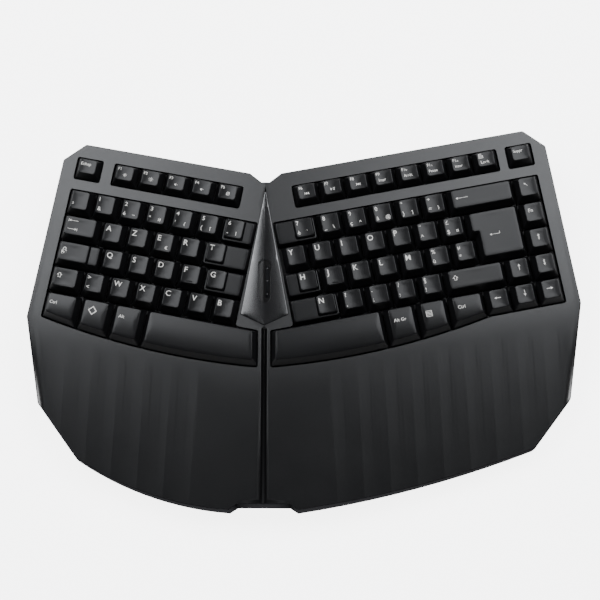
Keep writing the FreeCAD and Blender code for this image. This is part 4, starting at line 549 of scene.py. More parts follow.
KEYS = {
    "escape_key": (LEFT, 0, [(0, 1, [("Echap", 1.0, 4.4, 2.2)])]),
    "left_function_keys": (LEFT, 0, function_run(
        1, 1.45, 1.0, ("dim", 5.2, 2.6), ("bright", 5.2, 3.0), ("quieter", 5.2, 2.0),
        ("louder", 5.2, 2.0), ("silent", 5.2, 2.7))),
    "left_number_keys": (LEFT, 1, run(
        0, " ²", "1 &", "2 é ~", '3 " #', "4 ' {", "5 ( [", "6 - |")),
    "tab_key": (LEFT, 2, [
        (0, 1.5, [("tab_back", 2.0, 4.6, 3.4), ("tab_on", 2.0, 10.8, 3.4)])]),
    "left_upper_keys": (LEFT, 2, run(1.5, "A", "Z", "E€", "R", "T")),
    "caps_lock_key": (LEFT, 3, [(0, 1.75, [("🔒", 1.6, 8.2, 3.6)])]),
    "left_home_keys": (LEFT, 3, run(1.75, *"QSDFG")),
    "left_shift_key": (LEFT, 4, [(0, 1.25, [("⇧", 2.0, 7.0, 3.2)])]),
    "left_lower_keys": (LEFT, 4, run(1.25, "> <", *"WXCVB")),
    "left_control_key": (LEFT, 5, [(0, 1.4, [("Ctrl", 1.6, 7.4, 2.3)])]),
    "meta_key": (LEFT, 5, [(1.4, 2.65, [("◇", 3.4, 9.6, 4.6)])]),
    "alt_key": (LEFT, 5, [(2.65, 3.9, [("Alt", 2.2, 8.4, 2.3)])]),
    "left_space_key": (LEFT, 5, [(3.9, None, [])]),
    "right_function_keys": (RIGHT, 0, function_run(
        6, 7.37, 0.985, ("previous", 4.4, 2.0), ("play", 4.4, 2.0), ("next", 4.4, 2.0),
        ("Impr", 2.2, 1.9), ("Arrêt", 1.6, 1.9), ("Pause", 1.4, 1.9), ("Inser", 1.8, 1.9),
    ) + [(14.265, 15.25, [("▤", 1.0, 4.2, 3.0), ("Lock", 2.0, 8.2, 2.2)])]),
    "delete_key": (RIGHT, 0, [(15.6, 16.6, [("Suppr", 1.0, 4.4, 2.0)])]),
    "right_number_keys": (RIGHT, 1, run(
        7, "7 è `", "8 _ \\", "9 ç ^", "0 à @", "° ) ]", "+ = }")),
    "backspace_key": (RIGHT, 1, [(13, 15.6, [("long_left", 2.4, 7.8, 3.4)])]),
    "home_key": (RIGHT, 1, [(15.6, 16.6, [("home", 3.0, 6.4, 3.4)])]),
    "right_upper_keys": (RIGHT, 2, run(6.5, *"YUIOP", "¨ ^", "£ $ ¤")),
    "enter_key": (RIGHT, 2, [(13.75, 15.6, [("return", 11.4, 19.0, 3.4)])]),
    "fn_key": (RIGHT, 2, [(15.6, 16.6, [("Fn", 2.4, 6.4, 2.6)])]),
    "right_home_keys": (RIGHT, 3, run(6.75, *"HJKLM", "% ù", "µ *")),
    "page_up_key": (RIGHT, 3, [(15.6, 16.6, [("page_up", 3.4, 8.0, 4.4)])]),
    "right_lower_keys": (RIGHT, 4, run(7.25, "N", "? ,", ". ;", "/ :", "§ !")),
    "right_shift_key": (RIGHT, 4, [(12.25, 14.6, [("⇧", 2.4, 7.2, 3.2)])]),
    "up_key": (RIGHT, 4, [(14.6, 15.6, [("up", 3.8, 8.2, 4.6)])]),
    "page_down_key": (RIGHT, 4, [(15.6, 16.6, [("page_down", 3.4, 8.0, 4.4)])]),
    "left_arrow_key": (RIGHT, 5, [(13.6, 14.6, [("left", 3.0, 8.2, 4.6)])]),
    "down_key": (RIGHT, 5, [(14.6, 15.6, [("down", 3.8, 8.2, 4.6)])]),
    "right_arrow_key": (RIGHT, 5, [(15.6, 16.6, [("right", 3.0, 8.2, 4.6)])]),
    "right_space_key": (RIGHT, 5, [(None, 9.76, [])]),
    "alt_graph_key": (RIGHT, 5, [(9.76, 11.0, [("Alt Gr", 2.6, 9.6, 2.3)])]),
    "menu_key": (RIGHT, 5, [(11.0, 12.2, [("▤", 2.4, 10.2, 4.0)])]),
    "right_control_key": (RIGHT, 5, [(12.2, 13.6, [("Ctrl", 2.8, 8.6, 2.3)])]),
}
FIRST_ARROW = 13.6


# Front edge of the wells and of the front row's caps.
def front_arc(side, x):
    out = side * x - FRONT_MIDDLE
    return FRONT_RADIUS - math.sqrt(FRONT_RADIUS ** 2 - out ** 2) + FRONT_LINE


# A line that runs straight to the rear at a distance from the ridge.
def straight_x(side, y, gap):
    return side * (gap + y * math.sin(SPLAY)) / math.cos(SPLAY)


def front_row_corners(side, start, end):
    rear = FRONT_ROW - CAP_GAP
    gap = CENTRE_GAP + INNER_GAP
    tip = straight_x(side, front_arc(side, straight_x(side, FRONT_LINE, gap)), gap)
    low = tip if start is None else cell_x(side, start) + CAP_GAP
    high = tip if end is None else cell_x(side, end) - CAP_GAP
    low_rear = straight_x(side, rear, gap) if start is None else low
    high_rear = straight_x(side, rear, gap) if end is None else high
    steps = 8 if None in (start, end) else 2
    corners = [(high_rear, rear), (low_rear, rear)]
    for i in range(steps + 1):
        x = low + (high - low) * i / steps
        corners.append((x, front_arc(side, x) + INNER_GAP))
    return corners


# Corners of one cap at its foot, in the order of rectangle. The enter key has an arm, and
# the raised part of the caps lock key ends before its last column.
def cap_corners(node_name, start, end):
    side, row, _ = KEYS[node_name]
    if row == 5 and not (side == RIGHT and start is not None and start >= FIRST_ARROW):
        return front_row_corners(side, start, end)
    rear, front = row_edges(row, 2 if node_name == "enter_key" else 1)
    rear, front = rear - CAP_GAP, front + CAP_GAP
    left, right = cell_x(side, start) + CAP_GAP, cell_x(side, end) - CAP_GAP
    if node_name == "caps_lock_key":
        right = cell_x(side, STEP_START)
    if node_name == "enter_key":
        arm = cell_x(side, start - 0.25) + CAP_GAP
        step = row_edges(row)[1] + CAP_GAP
        return [(right, rear), (arm, rear), (arm, step),
                (left, step), (left, front), (right, front)]
    return rectangle(left, right, rear, front)


STEMS = {}
for node_name, (side, row, caps) in KEYS.items():
    feet = [cap_corners(node_name, start, end) for start, end, marks in caps]
    STEMS[node_name] = [tuple(extent(corners)[0]) for corners in feet]


def turns_left(corners):
    pairs = zip(corners, list(corners[1:]) + [corners[0]])
    return sum(a[0] * b[1] - b[0] * a[1] for a, b in pairs) > 0


# Tells the frame which body a piece rides on and which node it stands for.
def settle(piece, body, node=None):
    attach(piece, body)
    if node:
        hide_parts(node)


# A tree that sets its pieces out at given places, with its sizes as named inputs.
def instance_tree(name, inputs):
    tree = bpy.data.node_groups.new(name, "GeometryNodeTree")
    add_socket(tree, "Places", "INPUT", "Geometry")
    sockets = {
        label: add_socket(tree, label, "INPUT", "Float", size) for label, size in inputs
    }
    sockets["Material"] = add_socket(tree, "Material", "INPUT", "Material")
    add_socket(tree, "Pieces", "OUTPUT", "Geometry")
    return tree, tree.nodes.new("NodeGroupInput").outputs, sockets


def moved(tree, mesh, height):
    shift = add_node(tree, "ShaderNodeCombineXYZ", Z=height).outputs["Vector"]
    node = add_node(tree, "GeometryNodeTransform", Geometry=mesh, Translation=shift)
    return node.outputs["Geometry"]


def drum(tree, low_radius, high_radius, depth, low, sides=20):
    cone = add_node(tree, "GeometryNodeMeshCone", Vertices=sides, Radius_Bottom=low_radius,
                    Radius_Top=high_radius, Depth=depth)
    return moved(tree, cone.outputs["Mesh"], low)


def joined(tree, kind, settings, label, pieces, **inputs):
    node = add_node(tree, kind, settings, **inputs)
    for piece in pieces:
        tree.links.new(piece, node.inputs[label])
    return node.outputs[0]


def less(tree, whole, cutters):
    settings = {"operation": "DIFFERENCE", "solver": "EXACT"}
    return joined(tree, "GeometryNodeMeshBoolean", settings, "Mesh 2", cutters, Mesh_1=whole)


# Sets a body out at the places, each turned at random from a fixed seed.
def set_out(tree, given, body, seed):
    turn = add_node(tree, "FunctionNodeRandomValue", {"data_type": "FLOAT_VECTOR"},
                    Max=(0.0, 0.0, 1.5), Seed=seed).outputs["Value"]
    spread = add_node(tree, "GeometryNodeInstanceOnPoints", Points=given["Places"],
                      Instance=body, Rotation=turn).outputs["Instances"]
    real = add_node(tree, "GeometryNodeRealizeInstances", Geometry=spread).outputs["Geometry"]
    paint = add_node(tree, "GeometryNodeSetMaterial", Geometry=real,
                     Material=given["Material"])
    add_node(tree, "NodeGroupOutput", Pieces=paint.outputs["Geometry"])


# Points and faces of the pieces that a tree sets out at the given places.
def pieces_at(places, tree, sockets, values, paint):
    mesh = bpy.data.meshes.new("places")
    mesh.from_pydata([tuple(place) for place in places], [], [])
    item = add_object("places", mesh)
    modifier = item.modifiers.new("set_out", "NODES")
    modifier.node_group = tree
    for label, value in {"Material": paint, **values}.items():
        modifier[sockets[label]] = value
    shown = item.evaluated_get(bpy.context.evaluated_depsgraph_get())
    made = bpy.data.meshes.new_from_object(shown)
    points = [tuple(v.co) for v in made.vertices]
    faces = [tuple(p.vertices) for p in made.polygons]
    item.modifiers.remove(modifier)
    bpy.data.objects.remove(item)
    for data in (mesh, made):
        bpy.data.meshes.remove(data)
    return points, faces


def dome_tree():
    tree, given, sockets = instance_tree(
        "dome", [("Foot Radius", 4.6), ("Crown Radius", 2.4), ("Height", 3.7), ("Wall", 0.6)])
    wall, height = given["Wall"], given["Height"]
    whole = drum(tree, given["Foot Radius"], given["Crown Radius"], height, 0.0)
    foot = arithmetic(tree, "SUBTRACT", given["Foot Radius"], wall)
    crown = arithmetic(tree, "SUBTRACT", given["Crown Radius"], wall)
    hollow = drum(tree, foot, crown, arithmetic(tree, "ADD", height, 0.4),
                  arithmetic(tree, "SUBTRACT", -0.4, wall))
    dimple = drum(tree, 0.9, 1.2, 0.5, arithmetic(tree, "SUBTRACT", height, 0.3), 12)
    set_out(tree, given, less(tree, whole, [hollow, dimple]), 3)
    return tree, sockets


# Loops of edges round a set of faces, with the faces on their left.
def border_loops(faces):
    edges = {(a, b) for face in faces for a, b in zip(face, face[1:] + face[:1])}
    follow = {a: b for a, b in sorted(edges) if (b, a) not in edges}
    loops = []
    while follow:
        start, here = follow.popitem()
        loop = [start]
        while here != start:
            loop.append(here)
            here = follow.pop(here)
        loops.append(loop)
    return loops


# Wells of one half: round the key field, the function keys and the single key.
def well_polygons(side):
    inner, row_front = side * WELL_INNER, FRONT_ROW + WELL_ROOM
    tip_y = front_arc(side, straight_x(side, FRONT_LINE, CENTRE_GAP))
    tip = straight_x(side, tip_y, CENTRE_GAP)
    if side == RIGHT:
        outer, step = cell_x(RIGHT, 16.6) + WELL_ROOM, cell_x(RIGHT, FIRST_ARROW)
        rear = [(outer, WELL_REAR), (outer, ARROWS_FRONT), (step, ARROWS_FRONT)]
    else:
        step = cell_x(LEFT, 0) - WELL_ROOM
        rear = [(step, WELL_REAR)]
    arc = [step + (tip - step) * i / 24 for i in range(25)]
    field = [(inner, WELL_REAR), *rear, *((x, front_arc(side, x)) for x in arc),
             (straight_x(side, row_front, CENTRE_GAP), row_front), (inner, row_front)]
    polygons = [field]
    for columns in (STRIP[side], SINGLE[side]):
        left, right = (cell_x(side, column) for column in columns)
        polygons.append(rectangle(left - WELL_ROOM, right + WELL_ROOM,
                                  TOP_ROW[0] + WELL_ROOM, TOP_ROW[1] - WELL_ROOM))
    return [p if turns_left(p) else list(reversed(p)) for p in polygons]


# Points and lines of closed rings, for a triangulation that keeps them.
def closed_lines(rings):
    points, lines = [], []
    for ring in rings:
        start = len(points)
        points += [Vector(p) for p in ring]
        lines += [(start + i, start + (i + 1) % len(ring)) for i in range(len(ring))]
    return points, lines


def triangles(points, lines):
    found = delaunay_2d_cdt(points, lines, [], 0, 1e-4)
    spots = np.array([p[:] for p in found[0]])
    faces = [tuple(face) for face in found[2]]
    return spots, faces, np.array([spots[list(face)].mean(axis=0) for face in faces])


# Flat sheet with holes between two levels.
def flat_sheet(shape, outline, holes, bottom, top):
    spots, faces, middles = triangles(*closed_lines([outline] + holes))
    wanted = within(outline, middles)
    for hole in holes:
        wanted &= ~within(hole, middles)
    high = shape.add_ring([(x, y, top) for x, y in spots])
    low = shape.add_ring([(x, y, bottom) for x, y in spots])
    taken = [face for face, keep in zip(faces, wanted) if keep]
    shape.faces += [tuple(high[i] for i in face) for face in taken]
    shape.faces += [tuple(low[i] for i in reversed(face)) for face in taken]
    for loop in border_loops(taken):
        shape.skin([low[i] for i in loop], [high[i] for i in loop])


# Screw places of a key field. The cover screws stand in the plate's strip and tabs, and
# the back screws between them.
COVER_COLUMNS = {LEFT: ((5.95, 3.28, 0.55), (5.59, 2.28)),
                 RIGHT: ((7.72, 10.4, 13.23, 16.07), (8.09, 11.39, 15.07))}
BACK_COLUMNS = {LEFT: ((4.64, 1.96), (4.38, 0.97)),
                RIGHT: ((9.03, 11.76, 14.7), (9.29, 12.71, 15.86))}
STRIP_SCREWS, ARROW_SCREWS, TAB_ROOM = 73.4, -30.75, 5.0


def screw_places(side, columns):
    strip, tabs = columns[side]
    places = [(cell_x(side, column), STRIP_SCREWS) for column in strip]
    for column in tabs:
        x = cell_x(side, column)
        beside_arrows = side == RIGHT and x > cell_x(RIGHT, FIRST_ARROW)
        places.append((x, ARROW_SCREWS if beside_arrows else front_arc(side, x) - TAB_ROOM))
    return places


for side, node_name in ((LEFT, "left_dome_sheet"), (RIGHT, "right_dome_sheet")):
    well = well_polygons(side)[0]
    inner, outer = side * WELL_INNER, max(side * x for x, y in well) * side
    strip = cell_x(side, STRIP[side][0 if side == RIGHT else 1]) - side * WELL_ROOM
    outline = [p for p in well if p[1] < WELL_REAR - 0.7]
    outline = outline if side == LEFT else outline[::-1]
    rear = [(inner, WELL_REAR), (strip, WELL_REAR), (strip, STRIP_REAR), (outer, STRIP_REAR)]
    start = min(range(len(outline)),
                key=lambda i: abs(outline[i][0] - outer) - outline[i][1] * 0.01)
    outline = rear + outline[start:] + outline[:start]
    outline = outline if turns_left(outline) else outline[::-1]
    rear_screws = screw_places(side, BACK_COLUMNS)[:len(BACK_COLUMNS[side][0])]
    holes = [circle(x, y, BACK_SCREW_HOLE) for x, y in rear_screws]
    outline = inset(outline, [-SHEET_GROW] * len(outline))
    sheet = Shape()
    flat_sheet(sheet, outline, holes, SHEET_LOW, SHEET_TOP)
    web = sheet.object(node_name + "_web", FIELD[side], SILICONE, SHARP)
    settle(web, "housing", node_name)

dome = dome_tree()
for node_name, places in STEMS.items():
    side = KEYS[node_name][0]
    feet = [(x, y, DOME_FOOT) for x, y in places]
    domes = Shape()
    domes.add_shell(*pieces_at(feet, *dome, {"Height": DOME_HEIGHT}, SILICONE))
    piece = domes.object(node_name + "_domes", FIELD[side], SILICONE, SHARP)
    settle(piece, "housing")
    tuple(FIELD[side] @ Vector(feet[0]))
    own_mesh(piece)


# Key plates: black moulded plates with a guide tube for each stem. The glass fibre in
# the plastic shows as short pale streaks.
plate = Paint("plate_plastic", Specular_IOR_Level=0.35)
streaks = plate.noise(2600.0, 4.0, plate.mapped(Scale=(0.15, 1.0, 1.0)))
colour = plate.blend(streaks, (0.006, 0.006, 0.0065), (0.02, 0.02, 0.021))
dress(plate.finish(colour, (0.5, 0.64), streaks, 0.4, 0.02),
      "left_key_plate", "right_key_plate")


# Space bar wires: drawn spring steel, greased at the bends, one under each space bar.
# The bar turns in clips of the key plate, and its arms hold the cap level.
dress(metal("wire_steel", (0.42, 0.41, 0.4), (0.6, 0.59, 0.57), (0.18, 0.3),
            (0.06, 1, 1), 3000.0), "left_space_wire", "right_space_wire")


# Keycaps: moulded caps of black ABS with satin tops, pressed on the stems that run in
# the key plates. Letter caps are dished from side to side and the front row is crowned.
# Each row that shares a joint is one piece here too.
INK_BLACK = (0.003, 0.003, 0.0035), (0.005, 0.005, 0.0055)
KEYCAP = plastic("keycap_plastic", *INK_BLACK, (0.27, 0.33), 5200, 0.006, 0.26)
# The caps' forward faces get a duller copy of the cap plastic, with less sheen, so that they
# read darker: painted shade.
KEYCAP_FRONT_SHADE = plastic("keycap_front_plastic", *INK_BLACK, (0.45, 0.52), 5200, 0.006, 0.12)
FORWARD_FACING = 0.35
CAP_HEIGHT, CAP_EDGE, CAP_WALL, CAP_ROOF = 6.5, 0.5, 1.3, 2.3
SIDE_SLOPE, REAR_SLOPE, FRONT_SLOPE, LEDGE_SLOPE = 2.95, 1.3, 3.7, 1.3
STEP_DROP, LEDGE_INNER = 2.2, 19.6
DISH, LETTER_HALF_WIDTH = 0.6, 7.5
GRID_COLUMN, GRID_ROW, GRID_GUARD = 1.7, 2.2, 0.6
STEM_RINGS = (2.6, -2.2), (2.6, -13.3), (2.3, -13.7), (1.6, -13.7), (1.6, -11.0)
LEGEND_LIFT = 0.04
LEDGE_KEYS = (("left_number_keys", 6), ("left_upper_keys", 4), ("left_home_keys", 4),
              ("right_number_keys", 0), ("right_home_keys", 0), ("right_lower_keys", 0))


# The same polygon with an arc at each real corner, of one radius or of its own.
def rounded(corners, radii, steps=5):
    ring = []
    for i in range(len(corners)):
        radius = radii[i] if isinstance(radii, list) else radii
        here = Vector(corners[i])
        to_last = (Vector(corners[i - 1]) - here).normalized()
        to_next = (Vector(corners[(i + 1) % len(corners)]) - here).normalized()
        turn = math.pi - to_last.angle(to_next)
        if radius < 0.05 or (turn < 0.3 and not isinstance(radii, list)):
            ring.append(here)
            continue
        middle = here + (to_last + to_next).normalized() * (radius / math.cos(turn / 2))
        arm = here + to_last * (radius * math.tan(turn / 2)) - middle
        way = math.copysign(turn, to_last.y * to_next.x - to_last.x * to_next.y)
        ring += [middle + Matrix.Rotation(way * i / steps, 2) @ arm for i in range(steps + 1)]
    return ring


# Surface of a cap's top: dished from side to side, crowned from rear to front, or flat.
def top_surface(corners, form):
    middle, half = extent(corners)

    def height(x, y):
        if form == "dish":
            depth = DISH * min(1.0, LETTER_HALF_WIDTH / half.x) ** 1.5
            return -depth * (1 - min(1, abs(x - middle.x) / half.x) ** 2)
        if form == "crown":
            return -DISH * ((y - middle.y) / half.y) ** 2
        return 0.0

    return height


def add_cap(shape, corners, slopes, form="dish", drop=0.0):
    height = top_surface(inset(corners, slopes), form)
    share = (CAP_HEIGHT - drop - CAP_EDGE) / (CAP_HEIGHT - drop)
    levels = [(0.0, -CAP_HEIGHT, 1.0, 0, 0.0), (0.06, -CAP_HEIGHT + 0.25, 1.0, 0, 0.0),
              (share, -CAP_EDGE - drop, 1.4, 1, 0.0)]
    for step in (0.25, 0.5, 0.75, 1.0):
        lean = (1 - step) ** 2 * share + 2 * step * (1 - step) + step ** 2
        level = -CAP_EDGE * (1 - step) ** 2 - drop
        levels.append((lean, level, 1.5, 1, CAP_EDGE * step ** 2))
    rings = []
    for lean, level, radius, curved, inward in levels:
        ring = rounded(inset(corners, [s * lean + inward for s in slopes]), radius)
        ring = [(p.x, p.y, level + curved * height(p.x, p.y)) for p in ring]
        rings.append(shape.add_ring(ring))
    shape.skin(*rings)
    edge = [Vector(shape.points[i][:2]) for i in rings[-1]]
    (low_x, low_y), (high_x, high_y) = np.min(edge, axis=0), np.max(edge, axis=0)
    columns = max(3, round((high_x - low_x) / GRID_COLUMN))
    rows = max(3, round((high_y - low_y) / GRID_ROW))
    xs = [low_x + (high_x - low_x) * i / columns for i in range(columns + 1)]
    ys = [low_y + (high_y - low_y) * i / rows for i in range(rows + 1)]
    grid = np.array([(x, y) for x in xs for y in ys])
    guard = rounded(inset(corners, [s + CAP_EDGE + GRID_GUARD for s in slopes]), 1.0)
    inner = [Vector(spot) for spot in grid[within(guard, grid)]]
    shape.fill(rings[-1], inner, lambda x, y: height(x, y) - drop)
    rim = rounded(inset(corners, [CAP_WALL] * len(corners)), 0.4)
    roof = rounded(inset(corners, [s * 0.7 + CAP_WALL for s in slopes]), 0.4)
    rim = shape.add_ring([(p.x, p.y, -CAP_HEIGHT) for p in rim])
    roof = shape.add_ring([(p.x, p.y, -drop - CAP_ROOF) for p in roof])
    shape.skin(roof, rim, rings[0])
    shape.faces.append(tuple(reversed(roof)))
    return height


# The stem under a cap, a round post with a hollow end.
def add_stem(shape, middle):
    rings = [shape.add_ring([(x, y, level) for x, y in circle(*middle, radius, 16)])
             for radius, level in STEM_RINGS]
    shape.skin(*reversed(rings))
    shape.faces.append(tuple(rings[-1]))


# Signs that are drawn as outlines, one unit high.
def box_sign(left, right, low=0.0, high=1.0):
    return [(left, low), (right, low), (right, high), (left, high)]


def arrow_head(tail, tip):
    return [(tail, 0.0), (tip, 0.5), (tail, 1.0)]


def ring_sign(hub, inner, outer, rays=0):
    parts = []
    for i in range(16):
        a, b = 2 * math.pi * i / 16, 2 * math.pi * (i + 1) / 16
        ends = [(math.cos(t) * r, math.sin(t) * r) for r, t in
                ((inner, a), (outer, a), (outer, b), (inner, b))]
        parts.append([(hub + x, 0.5 + y) for x, y in ends])
    for i in range(rays):
        turn = Matrix.Rotation(2 * math.pi * i / rays, 2)
        ray = [turn @ Vector(p) for p in box_sign(outer + 0.1, 0.55, -0.05, 0.05)]
        parts.append([(hub + p.x, 0.5 + p.y) for p in ray])
    return parts


# A thin arrow, one unit long or longer, with bars across its tail.
def thin_arrow(degrees, length=1.0, bars=0, barb=0.2):
    head = 0.36 if length == 1 else 0.432
    parts = [box_sign(-length, -head, -0.045, 0.045), [(-head, -barb), (0, 0), (-head, barb)]]
    for i in range(bars):
        base = 0.14 + 0.14 * i - length
        parts.append(box_sign(base, base + 0.05, -0.16, 0.16))
    turn = Matrix.Rotation(math.radians(degrees), 2)
    tip = Vector((length / 2, 0.5)) + turn @ Vector((length / 2, 0))
    return [[tuple(tip + turn @ Vector(p)) for p in part] for part in parts]


SLASH = [(-0.02, 0.14), (0.08, 0.04), (0.92, 0.86), (0.82, 0.96)]
SPEAKER = [box_sign(0.0, 0.22, 0.3, 0.7), [(0.22, 0.3), (0.6, 0.0), (0.6, 1.0), (0.22, 0.7)]]
MINUS = box_sign(0.8, 1.2, 0.44, 0.56)
SIGNS = {
    "dim": ring_sign(0.5, 0.0, 0.2, 8),
    "bright": ring_sign(0.5, 0.16, 0.28, 8),
    "quieter": SPEAKER + [MINUS],
    "louder": SPEAKER + [MINUS, box_sign(0.94, 1.06, 0.3, 0.7)],
    "silent": ring_sign(0.45, 0.36, 0.48) + [SLASH],
    "previous": [box_sign(0.0, 0.14), arrow_head(0.85, 0.16), arrow_head(1.55, 0.86)],
    "play": [arrow_head(0.0, 0.7), box_sign(1.0, 1.16), box_sign(1.34, 1.5)],
    "next": [arrow_head(0.0, 0.69), arrow_head(0.7, 1.39), box_sign(1.41, 1.55)],
    "up": thin_arrow(90), "down": thin_arrow(-90),
    "left": thin_arrow(180), "right": thin_arrow(0), "home": thin_arrow(135),
    "page_up": thin_arrow(90, bars=3), "page_down": thin_arrow(-90, bars=3),
    "long_left": thin_arrow(180, 2.6, barb=0.26),
    "return": thin_arrow(180, 2.2, barb=0.26) + [box_sign(2.1, 2.2, 0.5, 1.0)],
    "tab_back": thin_arrow(180, 2.0, barb=0.24) + [box_sign(-0.1, 0.0, 0.2, 0.8)],
    "tab_on": thin_arrow(0, 2.0, barb=0.24) + [box_sign(2.0, 2.1, 0.2, 0.8)],
}


# Flat mesh of a text whose capitals are one millimetre high, from its left edge.
def glyphs(text):
    curve = bpy.data.curves.new("legend_text", "FONT")
    curve.body = text
    curve.size = 1.46
    curve.offset = 0.012
    curve.resolution_u = 3
    item = add_object("legend_text", curve)
    shown = item.evaluated_get(bpy.context.evaluated_depsgraph_get())
    mesh = bpy.data.meshes.new_from_object(shown)
    left = min(v.co.x for v in mesh.vertices)
    points = [(v.co.x - left, v.co.y) for v in mesh.vertices]
    faces = [tuple(p.vertices) for p in mesh.polygons]
    bpy.data.objects.remove(item)
    bpy.data.curves.remove(curve)
    bpy.data.meshes.remove(mesh)
    return points, faces


def add_legends(shape, marks, corner, height):
    for text, right, forward, size in marks:
        flat = Shape()
        for outline in SIGNS.get(text, []):
            ring = flat.add_ring(outline)
            flat.faces.append(tuple(ring if turns_left(outline) else ring[::-1]))
        if text and text not in SIGNS:
            flat.add_shell(*glyphs(text))
        places = [(corner.x + right + x * size, corner.y - forward + y * size)
                  for x, y in flat.points]
        shape.add_shell([(x, y, height(x, y) + LEGEND_LIFT) for x, y in places], flat.faces)


# Low bar by which a finger finds the F and J keys.
def add_homing_bar(shape, x, y, height):
    profile = (2.3, 0.5, -0.2), (2.25, 0.45, 0.2), (2.1, 0.3, 0.36), (1.9, 0.1, 0.4)
    rings = []
    for half_width, half_length, lift in profile:
        edge = rectangle(x - half_width, x + half_width, y + half_length, y - half_length)
        ring = rounded(edge, half_length * 0.9)
        rings.append(shape.add_ring([(p.x, p.y, height(p.x, p.y) + lift) for p in ring]))
    shape.skin(*rings)
    shape.faces += [tuple(rings[-1]), tuple(reversed(rings[0]))]


# Off-white ink of the legends, a little uneven where the pad laid it thin.
ink = Paint("legend_ink")
tone = ink.blend(ink.noise(1400.0, 2.0), (0.66, 0.64, 0.60), (0.84, 0.82, 0.78))
LEGEND_INK = ink.finish(tone, (0.4, 0.55))


for node_name, (side, row, caps) in KEYS.items():
    body = Shape()
    print_layer = Shape()
    for index, (start, end, marks) in enumerate(caps):
        corners = cap_corners(node_name, start, end)
        rear, front = corners[0][1], corners[-1][1]
        left, right = corners[-2][0], corners[0][0]
        fronts = len(corners) - 3
        slopes = [REAR_SLOPE, SIDE_SLOPE] + [FRONT_SLOPE] * fronts + [SIDE_SLOPE]
        form = "crown" if fronts > 1 else "dish"
        if node_name == "enter_key":
            slopes = [REAR_SLOPE, SIDE_SLOPE] + [FRONT_SLOPE, SIDE_SLOPE] * 2
            form = "dish"
        if node_name == "caps_lock_key":
            base = rectangle(left, cell_x(side, end) - CAP_GAP, rear, front)
            add_cap(body, base, slopes[:3] + [LEDGE_SLOPE], "flat", STEP_DROP)
        if (node_name, index) in LEDGE_KEYS:
            reach = side * (LEDGE_INNER + INNER_GAP)
            span = (left, reach) if side == LEFT else (reach, right)
            add_cap(body, rectangle(*span, rear, front), [LEDGE_SLOPE] * 4, "flat", STEP_DROP)
        height = add_cap(body, corners, slopes, form)
        middle, half = extent(corners)
        add_stem(body, middle)
        if marks and marks[0][0] in ("F", "J"):
            add_homing_bar(body, middle.x, middle.y - half.y + FRONT_SLOPE + 1.6, height)
        add_legends(print_layer, marks, inset(corners, slopes)[1], height)
    piece = body.object(node_name + "_caps", FIELD[side], KEYCAP)
    piece.data.materials.append(KEYCAP_FRONT_SHADE)
    # Faces that look forward take the duller copy: painted shade.
    forward = -(FIELD_TURN[side] @ Vector((0, 1, 0)))
    for polygon in piece.data.polygons:
        polygon.material_index = int(polygon.normal @ forward > FORWARD_FACING)
    settle(piece, node_name, node_name)
    if print_layer.points:
        legends = print_layer.object(node_name + "_legends", FIELD[side], LEGEND_INK)
        settle(legends, node_name)


# Screws: zinc-plated steel with low heads, cross recesses and rolled threads. Plate
# screws hold each key stack together, and case screws pull the covers to each other.
SCREW_STEEL = metal("screw_steel", (0.3, 0.3, 0.31), (0.5, 0.5, 0.5), (0.25, 0.4),
                    (1, 1, 1), 1800.0)


def screw_tree():
    tree, given, sockets = instance_tree("screw", [
        ("Head Radius", 2.8), ("Head Height", 1.8), ("Shank Radius", 1.5),
        ("Length", 9.5), ("Pitch", 0.7)])
    head, shank, pitch = given["Head Radius"], given["Shank Radius"], given["Pitch"]

    def times(size, share):
        return arithmetic(tree, "MULTIPLY", size, share)

    third = arithmetic(tree, "DIVIDE", given["Head Height"], 3.0)
    fall = times(given["Head Height"], -1.0)
    rim = drum(tree, head, head, times(third, 2.0), times(third, -2.0))
    face = drum(tree, arithmetic(tree, "SUBTRACT", head, third), head, third, fall)
    arms = []
    for long, wide in ((1.2, 0.25), (0.25, 1.2)):
        size = add_node(tree, "ShaderNodeCombineXYZ", X=times(head, long),
                        Y=times(head, wide), Z=given["Head Height"])
        arm = add_node(tree, "GeometryNodeMeshCube", Size=size.outputs["Vector"])
        arms.append(moved(tree, arm.outputs["Mesh"], fall))
    core, half = times(shank, 0.8), times(pitch, 0.4)
    ridge = joined(tree, "GeometryNodeJoinGeometry", {}, "Geometry",
                   [drum(tree, core, shank, half, 0.0), drum(tree, shank, core, half, half)])
    turns = arithmetic(tree, "DIVIDE", given["Length"], pitch)
    start = add_node(tree, "ShaderNodeCombineXYZ", Z=0.6).outputs["Vector"]
    offset = add_node(tree, "ShaderNodeCombineXYZ", Z=pitch).outputs["Vector"]
    line = add_node(tree, "GeometryNodeMeshLine", {"mode": "OFFSET"}, Offset=offset,
                    Count=arithmetic(tree, "SUBTRACT", turns, 2.0), Start_Location=start)
    thread = add_node(tree, "GeometryNodeInstanceOnPoints", Points=line.outputs["Mesh"],
                      Instance=ridge)
    bodies = [less(tree, face, arms), less(tree, rim, arms),
              drum(tree, core, core, given["Length"], 0.0), thread.outputs["Instances"]]
    whole = joined(tree, "GeometryNodeJoinGeometry", {}, "Geometry", bodies)
    set_out(tree, given, whole, 7)
    return tree, sockets


